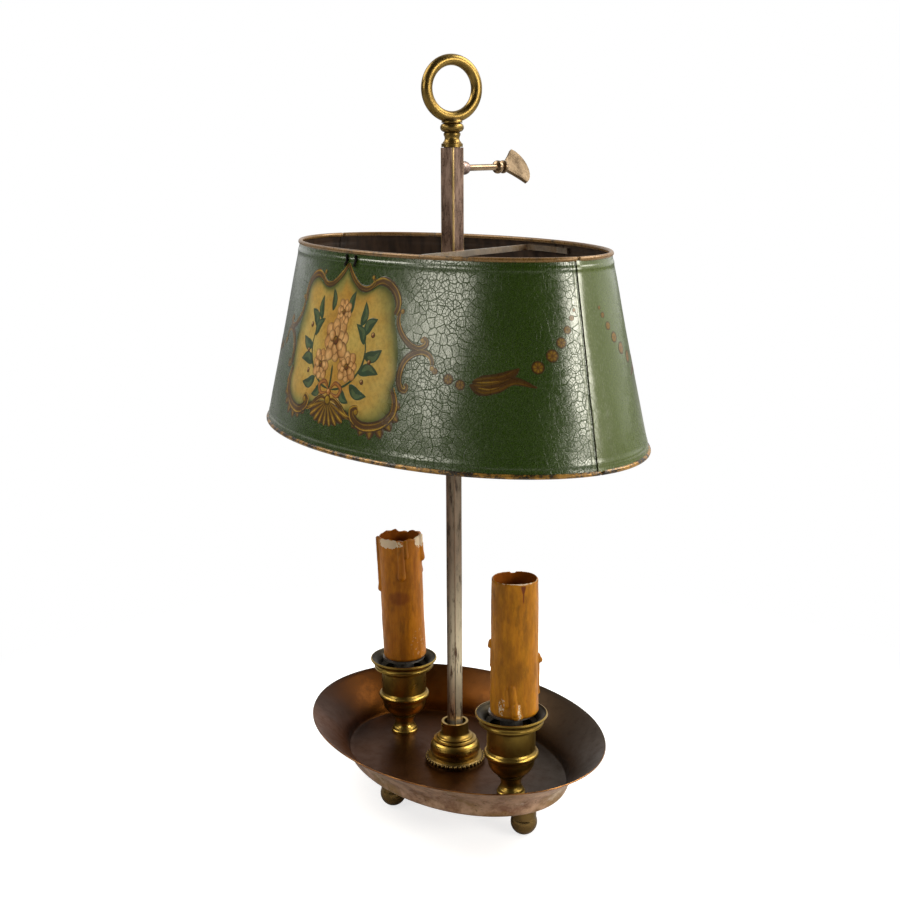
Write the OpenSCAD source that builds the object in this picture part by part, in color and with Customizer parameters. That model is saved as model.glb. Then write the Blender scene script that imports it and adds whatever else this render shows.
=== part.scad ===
// Bouillotte lamp: oval footed tray, two candle cups with electric candles, a square stem
// with a carrying ring, and an oval painted tin shade that slides on the stem and is held
// by a wing screw. Millimetres, +Z up. The origin is on the table, under the stem.
// +X runs along the tray's length to its right end, and -Y is the front.

/* [Tray] */
// Length of the tray over its rim
tray_len = 225; // [210:1:250]
// Width of the tray over its rim
tray_wid = 169.5; // [160:0.5:190]
// Height of the tray's floor above the table
floor_z = 20.5; // [20:0.1:22]
// Depth of the tray inside
tray_depth = 26.5; // [22:0.5:30]
// How far the wall leans out from the floor to the rim
wall_run = 27.8; // [25:0.1:29]
// Thickness of the tray's sheet
tray_sheet = 0.9; // [0.7:0.1:1.4]

/* [Feet] */
// Diameter of a ball foot
foot_d = 16.5; // [14:0.5:17]
// Distance between the left and right feet
foot_span_x = 150; // [140:1:156]
// Distance between the front and back feet
foot_span_y = 91.6; // [86:0.1:96]
// How far the front foot stands to the left of the stem, and the back one to its right
foot_slip_x = 5.5; // [0:0.5:7]
// How far the right foot stands forward of the stem, and the left one behind it
foot_slip_y = 2.5; // [0:0.5:4]

/* [Stem] */
// Side of the square rod
rod_side = 7.4; // [7:0.1:8]
// Height of the rod's square top above the table
rod_top_z = 416.2; // [400:0.1:430]
// Turn of the square rod and sleeve against the tray, in degrees
stem_turn = 13.3; // [-20:0.1:20]
// Height of the brass bell that holds the rod
bell_h = 27.4; // [24:0.1:32]

/* [Carrying ring] */
// Outer diameter of the carrying ring
ring_d = 39.8; // [34:0.1:44]
// Thickness of the ring's round bar
ring_bar_d = 6.8; // [5:0.1:8]
// Turn of the ring against the tray, in degrees
ring_turn = -10; // [-30:1:30]

/* [Candle cups] */
// Distance between the two candle cups
cup_spacing = 118; // [110:1:124]
// Height of a candle cup
cup_h = 53.8; // [50:0.1:58]
// Diameter of a candle cup's rim
cup_rim_d = 45.2; // [43:0.1:48]

/* [Candle tubes] */
// Length of a candle tube
tube_h = 86.4; // [80:0.1:95]
// Bore of a candle tube
tube_bore_d = 25.8; // [25:0.1:26.4]
// Lean of the left candle tube, in degrees
left_lean = 1.9; // [0:0.1:2]
// How far the right candle tube has slipped off its cup's middle to the right
right_slip_x = 1.1; // [0:0.1:1.2]
// How far the right candle tube has slipped off its cup's middle to the back
right_slip_y = 1.5; // [0:0.1:1.5]

/* [Lampholders] */
// Diameter of a lampholder
holder_d = 21.8; // [20:0.1:22]
// How far a lampholder's mouth lies below its candle tube's top
holder_drop = 9; // [8:1:20]
// Bore of the screw shell that takes the bulb
socket_d = 14; // [13.8:0.1:14.2]

/* [Sliding sleeve] */
// Side of the square sleeve
sleeve_side = 10.3; // [9.9:0.1:12]
// Clearance between the rod and the sleeve on each side
sleeve_play = 0.1; // [0.05:0.01:0.15]
// Height of the sleeve's lower end above the table
sleeve_low_z = 338; // [320:1:346]
// Height of the wing screw's axis above the table
screw_z = 403.7; // [390:0.1:408]

/* [Shade] */
// Length of the shade's lower edge
shade_low_len = 300.6; // [290:0.1:320]
// Width of the shade's lower edge
shade_low_wid = 193.4; // [190:0.1:206]
// Length of the shade's upper edge
shade_top_len = 252.6; // [240:0.1:264]
// Width of the shade's upper edge
shade_top_wid = 141.4; // [132:0.1:148]
// Height of the shade's lower edge above the table
shade_low_z = 243.4; // [240:0.1:250]
// Height of the shade
shade_h = 115.7; // [110:0.1:118]
// How far the shade's middle lies from the stem along X
shade_shift_x = -2.9; // [-4:0.1:4]
// How far the shade's middle lies from the stem along Y
shade_shift_y = -2.9; // [-4:0.1:4]
// Turn of the two seams away from the shade's ends, in degrees
seam_turn = -5.1; // [-12:0.1:12]
// Thickness of the shade's tin
tin = 0.6; // [0.5:0.1:0.8]

/* [Hidden] */
$fn = 64;
eps = 0.01;

brass = [0.62, 0.47, 0.2];
copper = [0.36, 0.24, 0.17];
steel = [0.5, 0.45, 0.4];
green = [0.16, 0.3, 0.14];
wax = [0.72, 0.43, 0.12];
bakelite = [0.12, 0.09, 0.07];

// Points on an arc round c, from angle a0 to a1
function arc(c, r, a0, a1, n = 6) =
    [for (i = [0:n]) c + r * [cos(a0 + (a1 - a0) * i / n), sin(a0 + (a1 - a0) * i / n)]];
// The same with two half axes, for flatter mouldings
function oval_arc(c, rx, ry, a0, a1, n = 6) =
    [for (i = [0:n]) c + [rx * cos(a0 + (a1 - a0) * i / n), ry * sin(a0 + (a1 - a0) * i / n)]];
function lerp(a, b, t) = a + (b - a) * t;

// Solid of revolution from an outline of [radius, height] points
module turned(outline) rotate_extrude() polygon(outline);

// Closed solid through a row of loops that have the same number of points
module skin(loops) {
    n = len(loops[0]);
    last = len(loops) - 1;
    polyhedron(
        points = [for (loop = loops) each loop],
        faces = concat(
            [[for (i = [0:n - 1]) i]],
            [[for (i = [n - 1:-1:0]) last * n + i]],
            [for (k = [0:last - 1], i = [0:n - 1])
                [k * n + i, (k + 1) * n + i, (k + 1) * n + (i + 1) % n, k * n + (i + 1) % n]]
        )
    );
}

// ---------------------------------------------------------------- tray

tray_sides = 72;
tray_steps = 9;
// The wall is a curve that leaves the floor flat, climbs steeply for a short way and then
// flares out in a wide brim. Each pull is how far its end keeps the direction it starts in.
floor_pull = 10.3;
rim_pull = 39.7;
rim_slope = 34;
wall_controls = [
    [-wall_run, 0], [floor_pull - wall_run, 0],
    [-rim_pull * cos(rim_slope), tray_depth - rim_pull * sin(rim_slope)], [0, tray_depth]
];
// Point and direction on the cubic curve with controls p, for s from 0 to 1
function bezier(p, s) =
    pow(1 - s, 3) * p[0] + 3 * s * pow(1 - s, 2) * p[1] + 3 * s * s * (1 - s) * p[2] + pow(s, 3) * p[3];
function bezier_dir(p, s) =
    let (d = pow(1 - s, 2) * (p[1] - p[0]) + 2 * s * (1 - s) * (p[2] - p[1]) + s * s * (p[3] - p[2]))
    d / norm(d);
function wall_inside(s) = [0, floor_z] + bezier(wall_controls, s);
function wall_outside(s) =
    let (d = bezier_dir(wall_controls, s)) wall_inside(s) + tray_sheet * [d[1], -d[0]];
// Level oval at profile point p, whose first value is measured outwards from the rim's line
function tray_ring(p) =
    [for (i = [0:tray_sides - 1])
        let (a = 360 * i / tray_sides, out = p[0] - tray_sheet * sin(rim_slope))
        [(tray_len / 2 + out) * cos(a), (tray_wid / 2 + out) * sin(a), p[1]]];

stem_hole_r = 3.1;
holder_hole_r = 5.1;
cup_x = cup_spacing / 2;

module tray() color(copper)
    difference() {
        skin(concat(
            [for (k = [0:tray_steps]) tray_ring(wall_outside(k / tray_steps))],
            [for (k = [tray_steps:-1:0]) tray_ring(wall_inside(k / tray_steps))]
        ));
        translate([0, 0, floor_z - 3]) cylinder(r = stem_hole_r, h = 6);
        for (x = [-cup_x, cup_x]) translate([x, 0, floor_z - 3]) cylinder(r = holder_hole_r, h = 6);
    }

// ---------------------------------------------------------------- feet

// The ball is flattened a little where it has worn on the table
foot_wear = 0.15;
foot_neck_r = foot_d / 2 - 0.6;

module foot(x, y) color(brass) translate([x, y, 0]) {
    under = floor_z - tray_sheet;
    intersection() {
        union() {
            translate([0, 0, foot_d / 2 - foot_wear]) sphere(d = foot_d);
            translate([0, 0, foot_d / 2]) cylinder(r = foot_neck_r, h = under - foot_d / 2);
        }
        cylinder(r = foot_d, h = under);
    }
}

module foot_front() foot(-foot_slip_x, -foot_span_y / 2);
module foot_back() foot(foot_slip_x, foot_span_y / 2);
module foot_left() foot(-foot_span_x / 2, foot_slip_y);
module foot_right() foot(foot_span_x / 2, -foot_slip_y);

// ---------------------------------------------------------------- stem

// The bell is screwed down by the rod's lower spigot. The rod's square end stands on a web.
web_h = 8;
bell_bore_r = 7.2;
bell_foot_r = 17.6;
bead_r = 1.3;
bead_z = 2.2;
bead_count = 40;
beading_r = 18.5;
spigot_r = 3;
washer_t = 1.2;
nut_t = 4.8;
under_z = floor_z - tray_sheet;

module stem_bell() color(brass) translate([0, 0, floor_z]) turned(concat(
    [[stem_hole_r, 0], [bell_foot_r, 0], [bell_foot_r, 3.9], [15.4, 4.6]],
    oval_arc([11.4, 9.6], 4.9, 5.4, -35, 62),
    [[13.9, 15.6], [12.3, 16]],
    arc([11, 17], 0.9, -40, 90, 4),
    arc([11.4, 20.4], 2.5, 245, 180, 4),
    [[8.75, bell_h], [bell_bore_r, bell_h], [bell_bore_r, web_h], [stem_hole_r, web_h]]
));

module stem_beading() color(brass) translate([0, 0, floor_z]) difference() {
    union() {
        turned([[0, 0], [19, 0], [19, 0.9], [18.5, 1.2], [18.5, 3.2], [bell_foot_r, 3.8], [0, 3.8]]);
        for (i = [0:bead_count - 1])
            rotate([0, 0, 360 * i / bead_count]) translate([beading_r, 0, bead_z]) sphere(r = bead_r);
    }
    translate([0, 0, -1]) cylinder(r = bell_foot_r + eps, h = 6);
}

// Square with round corners, drawn so that its corners stay true arcs
module round_square(side, r) {
    square([side, side - 2 * r], center = true);
    square([side - 2 * r, side], center = true);
    for (x = [-1, 1], y = [-1, 1]) translate([x, y] * (side / 2 - r)) circle(r = r);
}

spigot_top = 8;

module stem_rod() color(steel) rotate([0, 0, stem_turn]) {
    seat = floor_z + web_h;
    translate([0, 0, seat]) linear_extrude(rod_top_z - seat) round_square(rod_side, 0.7);
    spigot_end = under_z - washer_t - nut_t;
    translate([0, 0, spigot_end]) cylinder(r = spigot_r, h = seat - spigot_end + eps);
    translate([0, 0, rod_top_z - eps]) cylinder(r = spigot_r, h = spigot_top + eps);
}

module washer(bore_r, r) translate([0, 0, under_z - washer_t]) difference() {
    cylinder(r = r, h = washer_t);
    translate([0, 0, -1]) cylinder(r = bore_r, h = washer_t + 2);
}

module hex_nut(bore_r, flats, t) translate([0, 0, under_z - washer_t - t]) difference() {
    cylinder(d = flats / cos(30), h = t, $fn = 6);
    translate([0, 0, -1]) cylinder(r = bore_r, h = t + 2);
}

module stem_washer() color(steel) washer(stem_hole_r, 8);
module stem_nut() color(steel) hex_nut(spigot_r + 0.02, 10, nut_t);

// ---------------------------------------------------------------- carrying ring

neck_top = 14.1;
ring_r = (ring_d - ring_bar_d) / 2;
ring_z = rod_top_z + neck_top + ring_d / 2;

module finial_neck() color(brass) translate([0, 0, rod_top_z]) turned(concat(
    [[spigot_r + 0.05, 0], [6.5, 0], [6.5, 1.9], [5.7, 2.3], [5.6, 2.8]],
    arc([7.4, 5.1], 2.95, 232, 146, 6),
    [[5.1, 6.9], [5.1, 8], [4.5, 8.4]],
    oval_arc([4.4, 11.4], 2.75, 2.7, -80, 80, 8),
    [[4.6, neck_top], [0, neck_top], [0, spigot_top + 0.6], [spigot_r + 0.05, spigot_top + 0.6]]
));

// The ring grows out of a low cushion on the neck
module carrying_ring() color(brass) rotate([0, 0, ring_turn]) {
    translate([0, 0, ring_z]) rotate([0, 90, 0]) rotate_extrude()
        translate([ring_r, 0]) circle(d = ring_bar_d);
    translate([0, 0, rod_top_z + neck_top])
        turned([[0, 0], [6.3, 0], [6.2, 1], [5.4, 2], [4, 2.8], [0, 3.2]]);
}

// ---------------------------------------------------------------- candle cups

cup_bore_r = 13.5;
cup_floor_h = 16;
bead_line = 26.9;

module cup(x) color(brass) translate([x, 0, floor_z]) turned(concat(
    [[holder_hole_r, 0], [8.95, 0], [8.95, 1.3], [8.4, 1.9]],
    arc([12.6, 7.2], 6.2, 222, 128, 8),
    [[8.3, 12], [8.3, 12.9], [7.7, 13.3]],
    oval_arc([7.4, 23.6], 7.5, 10.2, -86, 0, 8),
    arc([15.2, bead_line], 2, -75, 75, 8),
    [[15.4, 29.4], [15.1, 29.9], [15.1, 43.6]],
    arc([18.6, 44], 3.4, 175, 112, 4),
    [[20.1, 47.2], [20.1, 48]],
    arc([21.6, 49.6], 1.9, 220, 130, 4),
    [[cup_rim_d / 2 - 0.6, 51.9], [cup_rim_d / 2, cup_h - 1]],
    [[cup_rim_d / 2 - 0.2, cup_h - 0.2], [cup_rim_d / 2 - 0.8, cup_h]],
    arc([cup_rim_d / 2 - 0.6, cup_h - 6.6], 5.8, 100, 178, 6),
    [[cup_bore_r, 45.6], [cup_bore_r, 24], [9, cup_floor_h], [holder_hole_r, cup_floor_h]]
));

module cup_left() cup(-cup_x);
module cup_right() cup(cup_x);

// ---------------------------------------------------------------- lampholders and their stems

// The hollow stem clamps the cup to the tray. A seat on it carries the lampholder and the tube.
seat_z = floor_z + cup_h + 0.9;
seat_t = 1.3;
seat_r = 14.2;
holder_stem_r = 5;
holder_nut_t = 4;
holder_washer_r = 8.1;
lead_bore_r = 3.6;
holder_foot = 9;
holder_h = tube_h - holder_drop;
socket_depth = 28;
shell_t = 1.5;

module holder_stem(x) color(brass) translate([x, 0, under_z - washer_t - holder_nut_t]) difference() {
    h = seat_z + holder_foot - 1 - (under_z - washer_t - holder_nut_t);
    cylinder(r = holder_stem_r, h = h);
    translate([0, 0, -1]) cylinder(r = lead_bore_r, h = h + 2);
}

module holder_stem_left() holder_stem(-cup_x);
module holder_stem_right() holder_stem(cup_x);
module holder_washers() color(steel)
    for (x = [-cup_x, cup_x]) translate([x, 0, 0]) washer(holder_hole_r, holder_washer_r);
module holder_nuts() color(steel)
    for (x = [-cup_x, cup_x]) translate([x, 0, 0]) hex_nut(holder_stem_r + 0.02, 14, holder_nut_t);

module tube_seat(x) color(steel) translate([x, 0, 0]) turned([
    [holder_hole_r, floor_z + cup_floor_h], [7, floor_z + cup_floor_h], [7, seat_z - seat_t],
    [seat_r, seat_z - seat_t], [seat_r, seat_z], [holder_hole_r, seat_z]
]);

module tube_seat_left() tube_seat(-cup_x);
module tube_seat_right() tube_seat(cup_x);

// Insulating body: a threaded foot, a chamber for the leads, a floor that carries the
// contact, and an open top that holds the screw shell on a ledge.
module lampholder(x) color(bakelite) translate([x, 0, seat_z]) difference() {
    ledge = holder_h - socket_depth - 2;
    union() {
        cylinder(d = holder_d, h = holder_h - 2);
        translate([0, 0, holder_h - 2]) cylinder(d1 = holder_d, d2 = holder_d - 2, h = 2);
    }
    translate([0, 0, -1]) cylinder(r = holder_hole_r, h = holder_foot + 2);
    translate([0, 0, holder_foot]) cylinder(r = 6.5, h = ledge - 10 - holder_foot);
    translate([0, 0, ledge - 4]) cylinder(r = 6.4, h = 5);
    translate([0, 0, ledge]) cylinder(r = socket_d / 2 + shell_t + 0.05, h = holder_h);
    translate([0, 0, ledge - 11]) cylinder(r = 1.55, h = 8);
    for (y = [-4.4, 4.4]) translate([0, y, ledge - 11]) cylinder(r = 1.2, h = 8);
}

module lampholder_left() lampholder(-cup_x);
module lampholder_right() lampholder(cup_x);

module screw_shell(x) color(brass) translate([x, 0, seat_z + holder_h - socket_depth - 2]) difference() {
    cylinder(r = socket_d / 2 + shell_t, h = socket_depth);
    translate([0, 0, -1]) cylinder(d = socket_d, h = socket_depth + 2);
}

module screw_shell_left() screw_shell(-cup_x);
module screw_shell_right() screw_shell(cup_x);

// Riveted centre contact, its domed head above the insulating floor
module contact(x) color(brass) translate([x, 0, seat_z + holder_h - socket_depth - 2]) turned(concat(
    [[0, -11.4], [2.6, -11.4], [2.6, -10], [1.5, -10], [1.5, -4], [3.2, -4], [3.2, -3.2]],
    oval_arc([0, -3.2], 3.2, 1.4, 20, 90, 4)
));

module contact_left() contact(-cup_x);
module contact_right() contact(cup_x);

// ---------------------------------------------------------------- candle tubes

// Wax drips, as [direction, height of the drip's top, height of its end, thickness]
right_drips = [
    [234, 47, 42, 2.6], [54, 34, 12, 2.4], [306, 15, 3, 3.2], [338, 20, 7, 2.2], [120, 84, 55, 2.2]
];
left_drips = [
    [234, 84, 52, 2.2], [54, 84, 72, 2.6], [318, 84, 76, 2.2], [285, 84, 66, 1.8], [150, 84, 60, 2.4]
];

module candle_tube(top_r, base_r, drips) difference() {
    union() {
        turned(concat(
            [[0, 0], [base_r - 1.5, 0]],
            arc([base_r - 1.5, 1.5], 1.5, -90, 0, 4),
            [[top_r, tube_h - 0.8], [top_r - 0.6, tube_h], [0, tube_h]]
        ));
        for (d = drips)
            rotate([0, 0, d[0]]) translate([lerp(base_r, top_r, d[1] / tube_h) - d[3] / 3, 0, 0]) {
                translate([0, 0, d[2]]) sphere(r = d[3]);
                translate([0, 0, d[2]]) cylinder(r1 = d[3], r2 = d[3] * 0.7, h = d[1] - d[2]);
                translate([0, 0, d[1]]) sphere(r = d[3] * 0.7);
            }
    }
    translate([0, 0, -1]) cylinder(d = tube_bore_d, h = tube_h + 2);
}

// The left tube is loose on its lampholder and leans against it, turned about its lower third
lean_dir = 234;
lean_lift = 0.5;
lean_pivot = [0, 0, tube_h / 3];

module candle_tube_left() color(wax)
    translate([-cup_x, 0, seat_z + lean_lift] + lean_pivot)
        rotate([0, 0, lean_dir]) rotate([0, left_lean, 0]) rotate([0, 0, -lean_dir])
            translate(-lean_pivot) candle_tube(14.5, 14.3, left_drips);

// The right tube stands upright, but has slipped sideways until it nearly touches its lampholder
module candle_tube_right() color(wax)
    translate([cup_x + right_slip_x, right_slip_y, seat_z]) candle_tube(14.2, 14.9, right_drips);

// ---------------------------------------------------------------- sleeve and clamp boss

sleeve_gap = 0.3;
sleeve_top_z = rod_top_z - sleeve_gap;
sleeve_bore = rod_side + 2 * sleeve_play;
spindle_r = 1.95;
spindle_play = 0.05;
boss_r = 4.3;
boss_end = 13.8;

// Places things along the wing screw's axis: children stand on +Z, from the stem's middle out
module along_screw() translate([0, 0, screw_z]) rotate([0, 0, stem_turn]) rotate([-90, 0, 0]) children();

module sleeve() color(steel) difference() {
    rotate([0, 0, stem_turn]) translate([0, 0, sleeve_low_z]) linear_extrude(sleeve_top_z - sleeve_low_z)
        difference() {
            round_square(sleeve_side, 1);
            square(sleeve_bore, center = true);
        }
    along_screw() cylinder(r = spindle_r + spindle_play, h = sleeve_side);
}

module screw_boss() color(brass) along_screw() difference() {
    boss_h = boss_end - sleeve_side / 2;
    translate([0, 0, sleeve_side / 2]) turned([
        [0, 0], [boss_r + 0.5, 0], [boss_r + 0.3, 0.9], [boss_r, 1.8],
        [boss_r - 0.2, boss_h - 2.4], [boss_r - 0.6, boss_h - 0.9], [boss_r - 1.3, boss_h], [0, boss_h]
    ]);
    cylinder(r = spindle_r + spindle_play, h = boss_end + 1);
}

// ---------------------------------------------------------------- wing screw

collar_at = 42;
wing_at = 51.6;
wing_arc_r = 13.1;
wing_arc_at = 59.9;
waist_cut_r = 75.9;
waist_cut_at = [16.5, 70.5];
wing_t = 2.2;
wing_turn = 57;

module screw_spindle() color(brass) along_screw() translate([0, 0, rod_side / 2 + spindle_play]) {
    tip = rod_side / 2 + spindle_play;
    turned(concat(
        [[0, 0], [1.4, 0], [spindle_r, 0.6], [spindle_r, collar_at - tip - 0.6], [3, collar_at - tip]],
        oval_arc([2.9, collar_at + 2 - tip], 1.2, 1.9, -60, 80, 6),
        [[2.2, collar_at + 4.5 - tip], [2.2, collar_at + 5.5 - tip]],
        oval_arc([2.2, collar_at + 7.2 - tip], 1.9, 1.5, -70, 80, 5),
        [[2.2, wing_at - tip], [0, wing_at - tip]]
    ));
}

// The wing is a fan: a wide arc with slightly hollowed sides down to the neck
module screw_wing() color(brass) along_screw() rotate([0, 0, wing_turn]) rotate([90, 0, 0])
    translate([0, 0, -wing_t / 2]) linear_extrude(wing_t) difference() {
        translate([0, wing_arc_at]) circle(r = wing_arc_r);
        for (s = [-1, 1]) translate([s * waist_cut_at[1], waist_cut_at[0]])
            circle(r = waist_cut_r, $fn = 180);
        translate([-20, wing_at - 20]) square([40, 20]);
    }

// ---------------------------------------------------------------- shade

shade_steps = 44;
lap_turn = 3;
lap_ramp = 0.3;
lap_step = tin + 0.12;
roll_r = 1.35;
roll_sides = 8;
roll_steps = 36;
roll_gap = 0.4;
roll_turn = 1.2;
shade_top_z = shade_low_z + shade_h;

// Half axes of the shade's outside at height z
function shade_a(z) = lerp(shade_low_len, shade_top_len, (z - shade_low_z) / shade_h) / 2;
function shade_b(z) = lerp(shade_low_wid, shade_top_wid, (z - shade_low_z) / shade_h) / 2;
function shade_point(t, z, out) =
    [shade_shift_x + (shade_a(z) + out) * cos(t), shade_shift_y + (shade_b(z) + out) * sin(t), z];

// Heights and swelling of the wall: it is plain but for a swaged line near each roll
swage_z = shade_top_z - 6.2;
low_swage_z = shade_low_z + 6.5;
wall_low_z = shade_low_z + 2 * roll_r;
wall_top_z = shade_top_z - 2 * roll_r;
wall_profile = [
    [wall_low_z, 0], [low_swage_z - 1.2, 0], [low_swage_z, 0.3], [low_swage_z + 1.2, 0],
    [shade_low_z + shade_h / 2, 0], [swage_z - 1.3, 0],
    [swage_z - 0.5, 0.5], [swage_z + 0.5, 0.5], [swage_z + 1.3, 0], [wall_top_z, 0]
];

// One half of the shade, from its lapped edge at angle t0, which is set out by a sheet's
// thickness to lie over the other half, round to its plain edge under the other half's lap
module shade_half(t0) {
    stops = concat(
        [[t0, lap_step], [t0 + lap_turn - lap_ramp, lap_step]],
        [for (i = [0:shade_steps]) [t0 + lap_turn + (180 - 2 * lap_ramp) * i / shade_steps, 0]]
    );
    n = len(stops);
    m = len(wall_profile);
    outer = [for (s = stops, p = wall_profile) shade_point(s[0], p[0], p[1] + s[1])];
    inner = [for (s = stops, p = wall_profile) shade_point(s[0], p[0], p[1] + s[1] - tin)];
    base = n * m;
    polyhedron(
        points = concat(outer, inner),
        faces = concat(
            [for (i = [0:n - 2], k = [0:m - 2])
                [i * m + k, i * m + k + 1, (i + 1) * m + k + 1, (i + 1) * m + k]],
            [for (i = [0:n - 2], k = [0:m - 2])
                [base + i * m + k, base + (i + 1) * m + k, base + (i + 1) * m + k + 1, base + i * m + k + 1]],
            [for (i = [0:n - 2]) [i * m, (i + 1) * m, base + (i + 1) * m, base + i * m]],
            [for (i = [0:n - 2])
                [i * m + m - 1, base + i * m + m - 1, base + (i + 1) * m + m - 1, (i + 1) * m + m - 1]],
            [for (k = [0:m - 2]) [k, base + k, base + k + 1, k + 1]],
            [for (k = [0:m - 2]) let (e = (n - 1) * m)
                [e + k, e + k + 1, base + e + k + 1, base + e + k]]
        )
    );
}

// Wired edge: the tin rolled round a wire, in two halves that stop short of each seam
module roll(z) for (half = [0, 1]) skin([for (i = [0:roll_steps])
    let (
        t = seam_turn + roll_turn + 180 * half + roll_gap + (180 - 2 * roll_gap) * i / roll_steps,
        out = [shade_b(z) * cos(t), shade_a(z) * sin(t)],
        n = out / norm(out),
        c = shade_point(t, z, -tin / 2)
    )
    [for (j = [0:roll_sides - 1]) let (u = 360 * (j + 0.5) / roll_sides)
        c + roll_r / cos(180 / roll_sides) * [n[0] * cos(u), n[1] * cos(u), sin(u)]]
]);

module shade_top_roll() color(brass) roll(shade_top_z - roll_r);
module shade_bottom_roll() color(brass) roll(shade_low_z + roll_r);

// ---------------------------------------------------------------- carrier

// A strip on edge is brazed to the sleeve. Its ends are bent along the tin and tied to it
// with wire, each tie through two holes.
strip_t = 1.6;
strip_h = 3.6;
strip_z = shade_top_z - 8;
tab_clear = 0.1;
tab_steps = 6;
tie_wire_r = 0.6;
tie_hole_r = 0.72;
wire_sides = 8;
front_ties = [-1.2, 7.8];
back_ties = [18, 26];

// Y of the tin's surface at x and height z, moved outwards by out. side is 1 at the back and
// -1 at the front.
function wall_y(x, z, out, side) =
    let (across = (x - shade_shift_x) / (shade_a(z) + out))
    shade_shift_y + side * (shade_b(z) + out) * sqrt(1 - across * across);

// The strip lies along one face of the sleeve and ends in the middle of each bent end: strip_end
// is where the line along its own middle meets the oval that the bent ends follow
strip_line = (sleeve_side + strip_t) / 2;
function strip_end(side) =
    let (
        z = strip_z + strip_h / 2,
        a = shade_a(z) - tin - tab_clear - strip_t / 2,
        b = shade_b(z) - tin - tab_clear - strip_t / 2,
        start = strip_line * [cos(stem_turn), sin(stem_turn)] - [shade_shift_x, shade_shift_y],
        p = [start[0] / a, start[1] / b],
        d = [-sin(stem_turn) / a, cos(stem_turn) / b]
    )
    (-p * d + side * sqrt(pow(p * d, 2) - (d * d) * (p * p - 1))) / (d * d);
function strip_end_x(side) = strip_line * cos(stem_turn) - strip_end(side) * sin(stem_turn);
front_tab = [-12, strip_end_x(-1) + strip_t / 2];
back_tab = [strip_end_x(1) - strip_t / 2, 32];

// A bent end of the strip, as a row of four-sided sections that lean with the tin
module tab(span, side) skin([for (i = [0:tab_steps])
    let (x = lerp(span[0], span[1], i / tab_steps))
    [for (c = [[0, 0.5 - side / 2], [0, 0.5 + side / 2], [1, 0.5 + side / 2], [1, 0.5 - side / 2]])
        let (z = strip_z + c[1] * strip_h)
        [x, wall_y(x, z, -tin - tab_clear - c[0] * strip_t, side), z]]
]);

module carrier_strip() color(steel) {
    tab(front_tab, -1);
    tab(back_tab, 1);
    rotate([0, 0, stem_turn]) translate([sleeve_side / 2, strip_end(-1), strip_z])
        cube([strip_t, strip_end(1) - strip_end(-1), strip_h]);
}

// Heights of a tie's two legs, just under and just over the strip
tie_heights = [strip_z - tie_wire_r - 0.1, strip_z + strip_h + tie_wire_r + 0.1];
// Room between a tie's outside bar and the tin, which swells a little behind it
tie_stand = 0.65;
tie_hole_depth = 20;

module tie_holes() for (t = [[front_ties, -1], [back_ties, 1]], x = t[0], z = tie_heights)
    translate([x, wall_y(x, z, -tie_hole_depth / 2, t[1]), z]) rotate([-90 * t[1], 0, 0])
        cylinder(r = tie_hole_r, h = tie_hole_depth);

// Sideways direction of a bent wire at point i of its path p, stretched for the mitre there.
// The path lies in a plane across the X axis, so its points are [y, z].
function mitre(p, i) =
    let (
        before = i > 0 ? p[i] - p[i - 1] : p[1] - p[0],
        after = i < len(p) - 1 ? p[i + 1] - p[i] : before,
        along = before / norm(before) + after / norm(after),
        m = along / norm(along)
    )
    [-m[1], m[0]] / (m * before / norm(before));

module bent_wire(x, path) skin([for (i = [0:len(path) - 1])
    let (w = mitre(path, i) * tie_wire_r)
    [for (j = [0:wire_sides - 1]) let (u = 360 * j / wire_sides)
        [x - tie_wire_r * cos(u), path[i][0] + w[0] * sin(u), path[i][1] + w[1] * sin(u)]]
]);

// Wire through two holes, with one bar outside the tin and cut ends that meet behind the tab
module tie(x, side) {
    outside = [for (z = tie_heights) [wall_y(x, z, tie_wire_r + tie_stand, side), z]];
    inside = [for (z = tie_heights)
        [wall_y(x, z, -tin - tab_clear - strip_t - tie_wire_r - 0.1, side), z]];
    bent_wire(x, [
        lerp(inside[0], inside[1], 0.42), inside[0], outside[0],
        outside[1], inside[1], lerp(inside[0], inside[1], 0.58)
    ]);
}

module carrier_ties() color(bakelite) {
    for (x = front_ties) tie(x, -1);
    for (x = back_ties) tie(x, 1);
}

module shade_front() color(green) difference() {
    shade_half(seam_turn - 180);
    tie_holes();
}

module shade_back() color(green) difference() {
    shade_half(seam_turn);
    tie_holes();
}

tray();
foot_front();
foot_back();
foot_left();
foot_right();
stem_bell();
stem_beading();
stem_rod();
stem_washer();
stem_nut();
finial_neck();
carrying_ring();
cup_left();
cup_right();
holder_stem_left();
holder_stem_right();
holder_washers();
holder_nuts();
tube_seat_left();
tube_seat_right();
candle_tube_left();
candle_tube_right();
lampholder_left();
lampholder_right();
screw_shell_left();
screw_shell_right();
contact_left();
contact_right();
sleeve();
screw_boss();
carrier_strip();
carrier_ties();
shade_front();
shade_back();
shade_top_roll();
shade_bottom_roll();
screw_spindle();
screw_wing();
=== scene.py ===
"""Looks of the bouillotte lamp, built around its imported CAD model.

Points are worked out in millimetres in the model's own frame and scaled when a mesh is made.
Materials take their patterns from object coordinates, which are metres in that same frame.
"""

import math

import bpy
import numpy as np
from mathutils import Matrix, Vector, noise


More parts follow.
